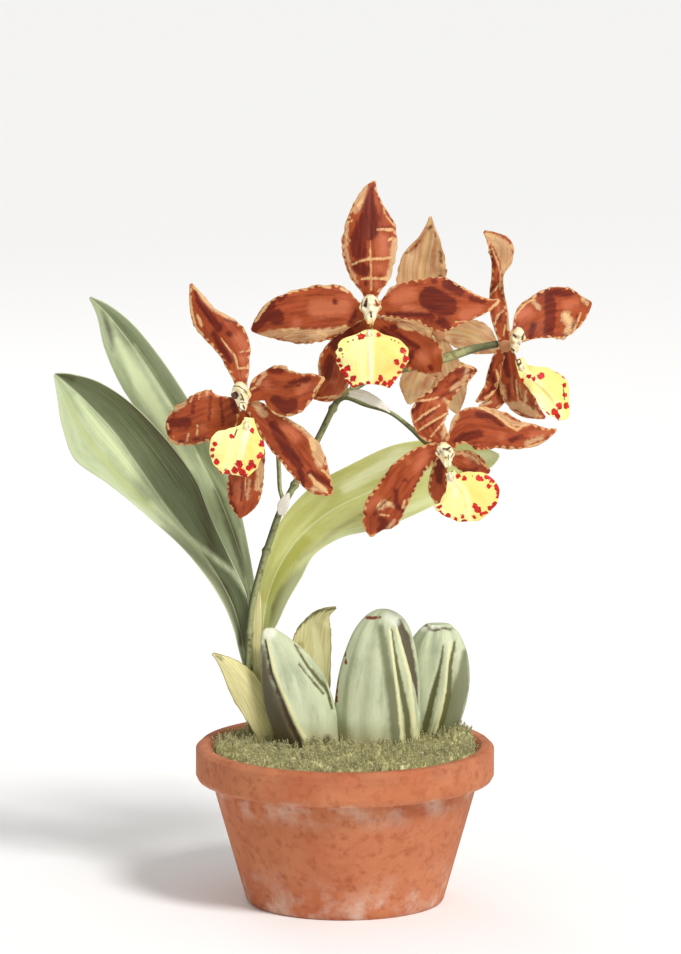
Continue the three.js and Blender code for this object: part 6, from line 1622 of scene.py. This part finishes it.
def lipFinish():
    material, tree, shader = newMaterial("lipYellow")
    over = fromMesh(tree, "over")
    lines = drawn(tree, over, 0.35, 0.06)
    fine = drawn(tree, over, 1.6, 0.08)
    colour = blend(tree, span(tree, lines, 0.35, 0.65), "#FAED92", "#FEF8AE")
    colour = blend(tree, span(tree, over, -0.2, -3.0, 0.0, 0.85), colour, "#F6D878")
    colour = blend(tree, span(tree, fine, 0.55, 0.7, 0.0, 0.25), colour, "#F3D873")
    # painted highlight along the middle of the lip
    middle = maths(tree, "ABSOLUTE", over)
    colour = blend(tree, span(tree, middle, 1.2, 0.2, 0.0, 0.25), colour, "#FDF7C6")
    colour = coat(tree, colour, marked(tree, "pale", 0.3, 1.2), 0.4, "#F4CE62")
    colour = coat(tree, colour, marked(tree, "tan", 0.3, 0.5), 0.8, "#F4E6CE")
    red = blend(tree, patches(tree, 500.0, 0.4, 0.6), "#A50C10", "#D3231C")
    colour = blend(tree, marked(tree, "spot", 0.6, 0.18, 750.0), colour, red)
    colour = coat(tree, colour, marked(tree, "dark", 0.15, 0.2), 0.9, "#5E120C")
    colour = coat(tree, colour, fromMesh(tree, "rear"), 0.5, "#EFE6A6")
    relief(tree, shader, maths(tree, "MULTIPLY_ADD", fine, 0.4, lines), 0.0004, 0.45)
    finish(tree, shader, colour, 0.5, 0.3)
    return material


def columnFinish():
    material, tree, shader = newMaterial("columnCream")
    colour = blend(tree, patches(tree, 260.0), "#EAD9A0", "#FBF4D8")
    colour = coat(tree, colour, fromMesh(tree, "hollow"), 0.85, "#6E3A1C")
    colour = coat(tree, colour, fromMesh(tree, "side"), 0.55, "#C99B55")
    colour = coat(tree, colour, marked(tree, "pale", 0.2, 0.5), 0.7, "#E5B860")
    colour = coat(tree, colour, marked(tree, "tan", 0.2, 0.5), 0.8, "#B98A4A")
    colour = blend(tree, marked(tree, "spot", 0.2, 0.25, 700.0), colour, "#A63018")
    colour = coat(tree, colour, marked(tree, "dark", 0.2, 0.22, 700.0), 0.95, "#460E05")
    relief(tree, shader, cloudy(tree, onPiece(tree), 800.0, 2.0), 0.0002, 0.5)
    finish(tree, shader, colour, 0.5, 0.3)
    return material


def shiftedTepals(flower):
    # sets each tepal at its flower's depth, leaning and bent back from the heart
    heartAcross, heartRise = flower["heart"]
    for stations in flower["tepals"]:
        rows = filled(stations)
        across = rows[:, 0] - heartAcross
        reach = np.hypot(across, rows[:, 1] - heartRise) / bowReach
        rows[:, 2] += flower["depth"] + flower["lean"] * across + flower["bow"] * reach ** 2
        yield rows


def makeTepals(flower, number, material):
    heap = Heap()
    turned = turnedAway(flower)
    for k, rows in enumerate(shiftedTepals(flower)):
        form = {**tepalForm, "waveShift": bladeForm["waveShift"] + k}
        marks = markings.get(f"flower_{number}_tepal_{k + 1}")
        addBlade(heap, rows, form, 100 * number + 11 * k, marks, turned, tone=number + 0.17 * k)
    across, rise = flower["heart"]
    behind = -1 if turned else 1
    centre = seen(across, rise, flower["depth"] + behind)
    # the hub where the tepals meet is painted all over with the highlight colour
    addBall(heap, centre, (3.4, 2.5, 3.4), rear=1.0, rim=4.0, over=3.0, tone=number, light=-1.0)
    settle(heap.make(f"flower{number}Tepals", [material]), "tepal", f"flower_{number}_tepals")


def makeLip(flower, number, material):
    heap = Heap()
    rows = filled(flower["lip"])
    rows[:, 2] += flower["depth"]
    ahead = 1 if turnedAway(flower) else -1
    addBlade(heap, rows, lipForm, 100 * number + 71, markings.get(f"flower_{number}_lip"), tone=number)
    # the callus: a cushion and two rows of warts on the claw
    x, rise, depth = between(rows, np.array([0.14]))[0, :3]
    callus = {"over": -4.0, "rim": 4.0, "tan": -1.0, "tone": number}
    addBall(heap, seen(x, rise, depth + ahead), (1.6, 1.1, 2.1), **callus)
    for side in (-1, 1):
        for k in range(2):
            spot = between(rows, np.array([0.06 + 0.07 * k]))[0, :3]
            centre = seen(spot[0] + side * (0.8 + 0.25 * k), spot[1], spot[2] + ahead * 2.2)
            addBall(heap, centre, (0.6, 0.7, 0.9), 0.3 * side, 10, 14, **callus)
    if turnedAway(flower):
        for key in ("spot", "dark"):
            heap.values[key] = [np.full(len(block), farOff) for block in heap.values[key]]
    settle(heap.make(f"flower{number}Lip", [material]), "lip", f"flower_{number}_lip")


def turnedAway(flower):
    return flower["column"]["turned"] > 90


# Columns: pairs of the share of the length and the width there, and the relief of the open face, whose places
# are a share of the length, its spread, a share of the half width to both sides, and its spread
columnShape = [
    [0, 0.3], [0.15, 0.5], [0.36, 0.66], [0.5, 0.92], [0.6, 1], [0.72, 0.84], [0.88, 0.66], [1, 0.3],
]
columnRelief = {
    "pits": (0.66, 0.08, 0.42, 0.16), "mouth": (0.44, 0.05, 0, 0.13), "hood": (0.82, 0.09, 0, 0.45),
    "nose": (0.6, 0.16, 0, 0.17),
}


def makeColumn(flower, number, material, sides=56, rows=64):
    plan = flower["column"]
    low, high = (seen(x, rise, y + flower["depth"]) for x, rise, y in (plan["foot"], plan["head"]))
    axis = high - low
    turn = math.radians(plan["turned"])
    side = np.array([math.cos(turn), math.sin(turn), 0.0])
    face = np.cross(side, axis)
    face /= np.linalg.norm(face)
    share = np.linspace(0, 1, rows)[:, None]
    shape = np.array(columnShape)
    width = np.interp(share, shape[:, 0], shape[:, 1])
    kernel = np.hanning(9) / np.hanning(9).sum()
    width = np.convolve(np.pad(width[:, 0], 4, mode="edge"), kernel, mode="valid")[:, None]
    angle = np.linspace(0, 2 * math.pi, sides, endpoint=False)[None, :]
    half = plan["halfWidth"]
    x = half * width * np.cos(angle)
    y = half * (0.2 + 0.35 * width) * np.sin(angle)
    # which way is the open face of the column: the side away from the heart
    front = 1 if face[1] * (1 if turnedAway(flower) else -1) > 0 else -1
    isFront = np.sign(np.sin(angle)) == front

    def formOf(name):
        at, spread, off, width = columnRelief[name]
        beside = (np.abs(x) - off * half) / (width * half)
        return np.exp(-((share - at) / spread) ** 2 - beside ** 2) * isFront

    # wings swept forward, a hood over the top, the stigma hollow below it, and two keels down the face
    wing = np.exp(-((share - 0.58) / 0.14) ** 2) * np.abs(np.cos(angle)) ** 8
    y = y + front * 1.6 * wing
    pits, mouth, hood, nose = (formOf(name) for name in columnRelief)
    y = y - front * (1.8 * pits + 1.4 * mouth)
    y = y + front * (1.3 * hood + 1.2 * nose * (1 - mouth))
    keels = np.exp(-((np.abs(x) - 0.24 * half) / (0.1 * half)) ** 2) * isFront
    y = y + front * 1.1 * keels * ramp(1 - share * 2.4)
    points = low + share[..., None] * axis + x[..., None] * side + y[..., None] * face
    marks = markings.get(f"flower_{number}_column", {})
    across = points[..., 0]
    rise = (points[..., 2] - mossLevel) * math.cos(sightTilt) + points[..., 1] * math.sin(sightTilt)
    layers = {}
    for layer in paintLayers:
        layers[layer] = np.where(isFront, strokeDistance(across, rise, marks.get(layer, [])), farOff)
    flank = np.abs(np.cos(angle)) ** 10 + 0 * x
    heap = Heap()
    addSkin(heap, points, tone=number, hollow=ramp(pits * 0.5 + mouth), side=flank, **layers)
    settle(heap.make(f"flower{number}Column", [material]), "column", f"flower_{number}_column")


tepalSkin = tepalFinish()
lipYellow = lipFinish()
columnCream = columnFinish()
for number, flower in enumerate(flowers, 1):
    makeTepals(flower, number, tepalSkin)
    makeLip(flower, number, lipYellow)
    makeColumn(flower, number, columnCream)
print("flowers made")


# Stage and light
stagePlan = {
    "floorHalf": 60, "floorColour": (0.93, 0.925, 0.915, 1),
    "worldColour": (1, 0.995, 0.985, 1), "world": 0.5,
    "sunStrength": 2.1, "sunAngle": 14, "sunHeading": (-0.62, 0.85, -1.15),
    "lampSize": 0.8, "lampAim": (0, 0, 0.2),
    "softboxPower": 5, "softboxAt": (1.0, -1.1, 0.9), "backPower": 4, "backAt": (-0.6, 1.4, 1.1),
}


def makeStage():
    mesh = bpy.data.meshes.new("floor")
    h = stagePlan["floorHalf"]
    mesh.from_pydata([(-h, -h, 0), (h, -h, 0), (h, h, 0), (-h, h, 0)], [], [(0, 1, 2, 3)])
    floor = bpy.data.objects.new("floor", mesh)
    bpy.context.scene.collection.objects.link(floor)
    material, _, shader = newMaterial("paleFloor")
    shader.inputs["Base Color"].default_value = stagePlan["floorColour"]
    shader.inputs["Roughness"].default_value = 0.9
    mesh.materials.append(material)
    world = bpy.data.worlds.new("studio")
    world.use_nodes = True
    background = world.node_tree.nodes["Background"]
    background.inputs["Color"].default_value = stagePlan["worldColour"]
    background.inputs["Strength"].default_value = stagePlan["world"]
    bpy.context.scene.world = world


def addLight(name, power, where):
    data = bpy.data.lights.new(name, "AREA")
    data.energy = power
    data.shape = "DISK"
    data.size = stagePlan["lampSize"]
    lamp = bpy.data.objects.new(name, data)
    lamp.location = where
    heading = Vector(stagePlan["lampAim"]) - Vector(where)
    lamp.rotation_euler = heading.to_track_quat("-Z", "Y").to_euler()
    bpy.context.scene.collection.objects.link(lamp)


def addSun():
    # a broad sun lights the floor evenly as far as the view goes
    data = bpy.data.lights.new("keyLight", "SUN")
    data.energy = stagePlan["sunStrength"]
    data.angle = math.radians(stagePlan["sunAngle"])
    lamp = bpy.data.objects.new("keyLight", data)
    lamp.rotation_euler = Vector(stagePlan["sunHeading"]).to_track_quat("-Z", "Y").to_euler()
    bpy.context.scene.collection.objects.link(lamp)


makeStage()
addSun()
addLight("softbox", stagePlan["softboxPower"], stagePlan["softboxAt"])
addLight("backLight", stagePlan["backPower"], stagePlan["backAt"])
bpy.context.scene.view_settings.view_transform = "Standard"
print("stage set")
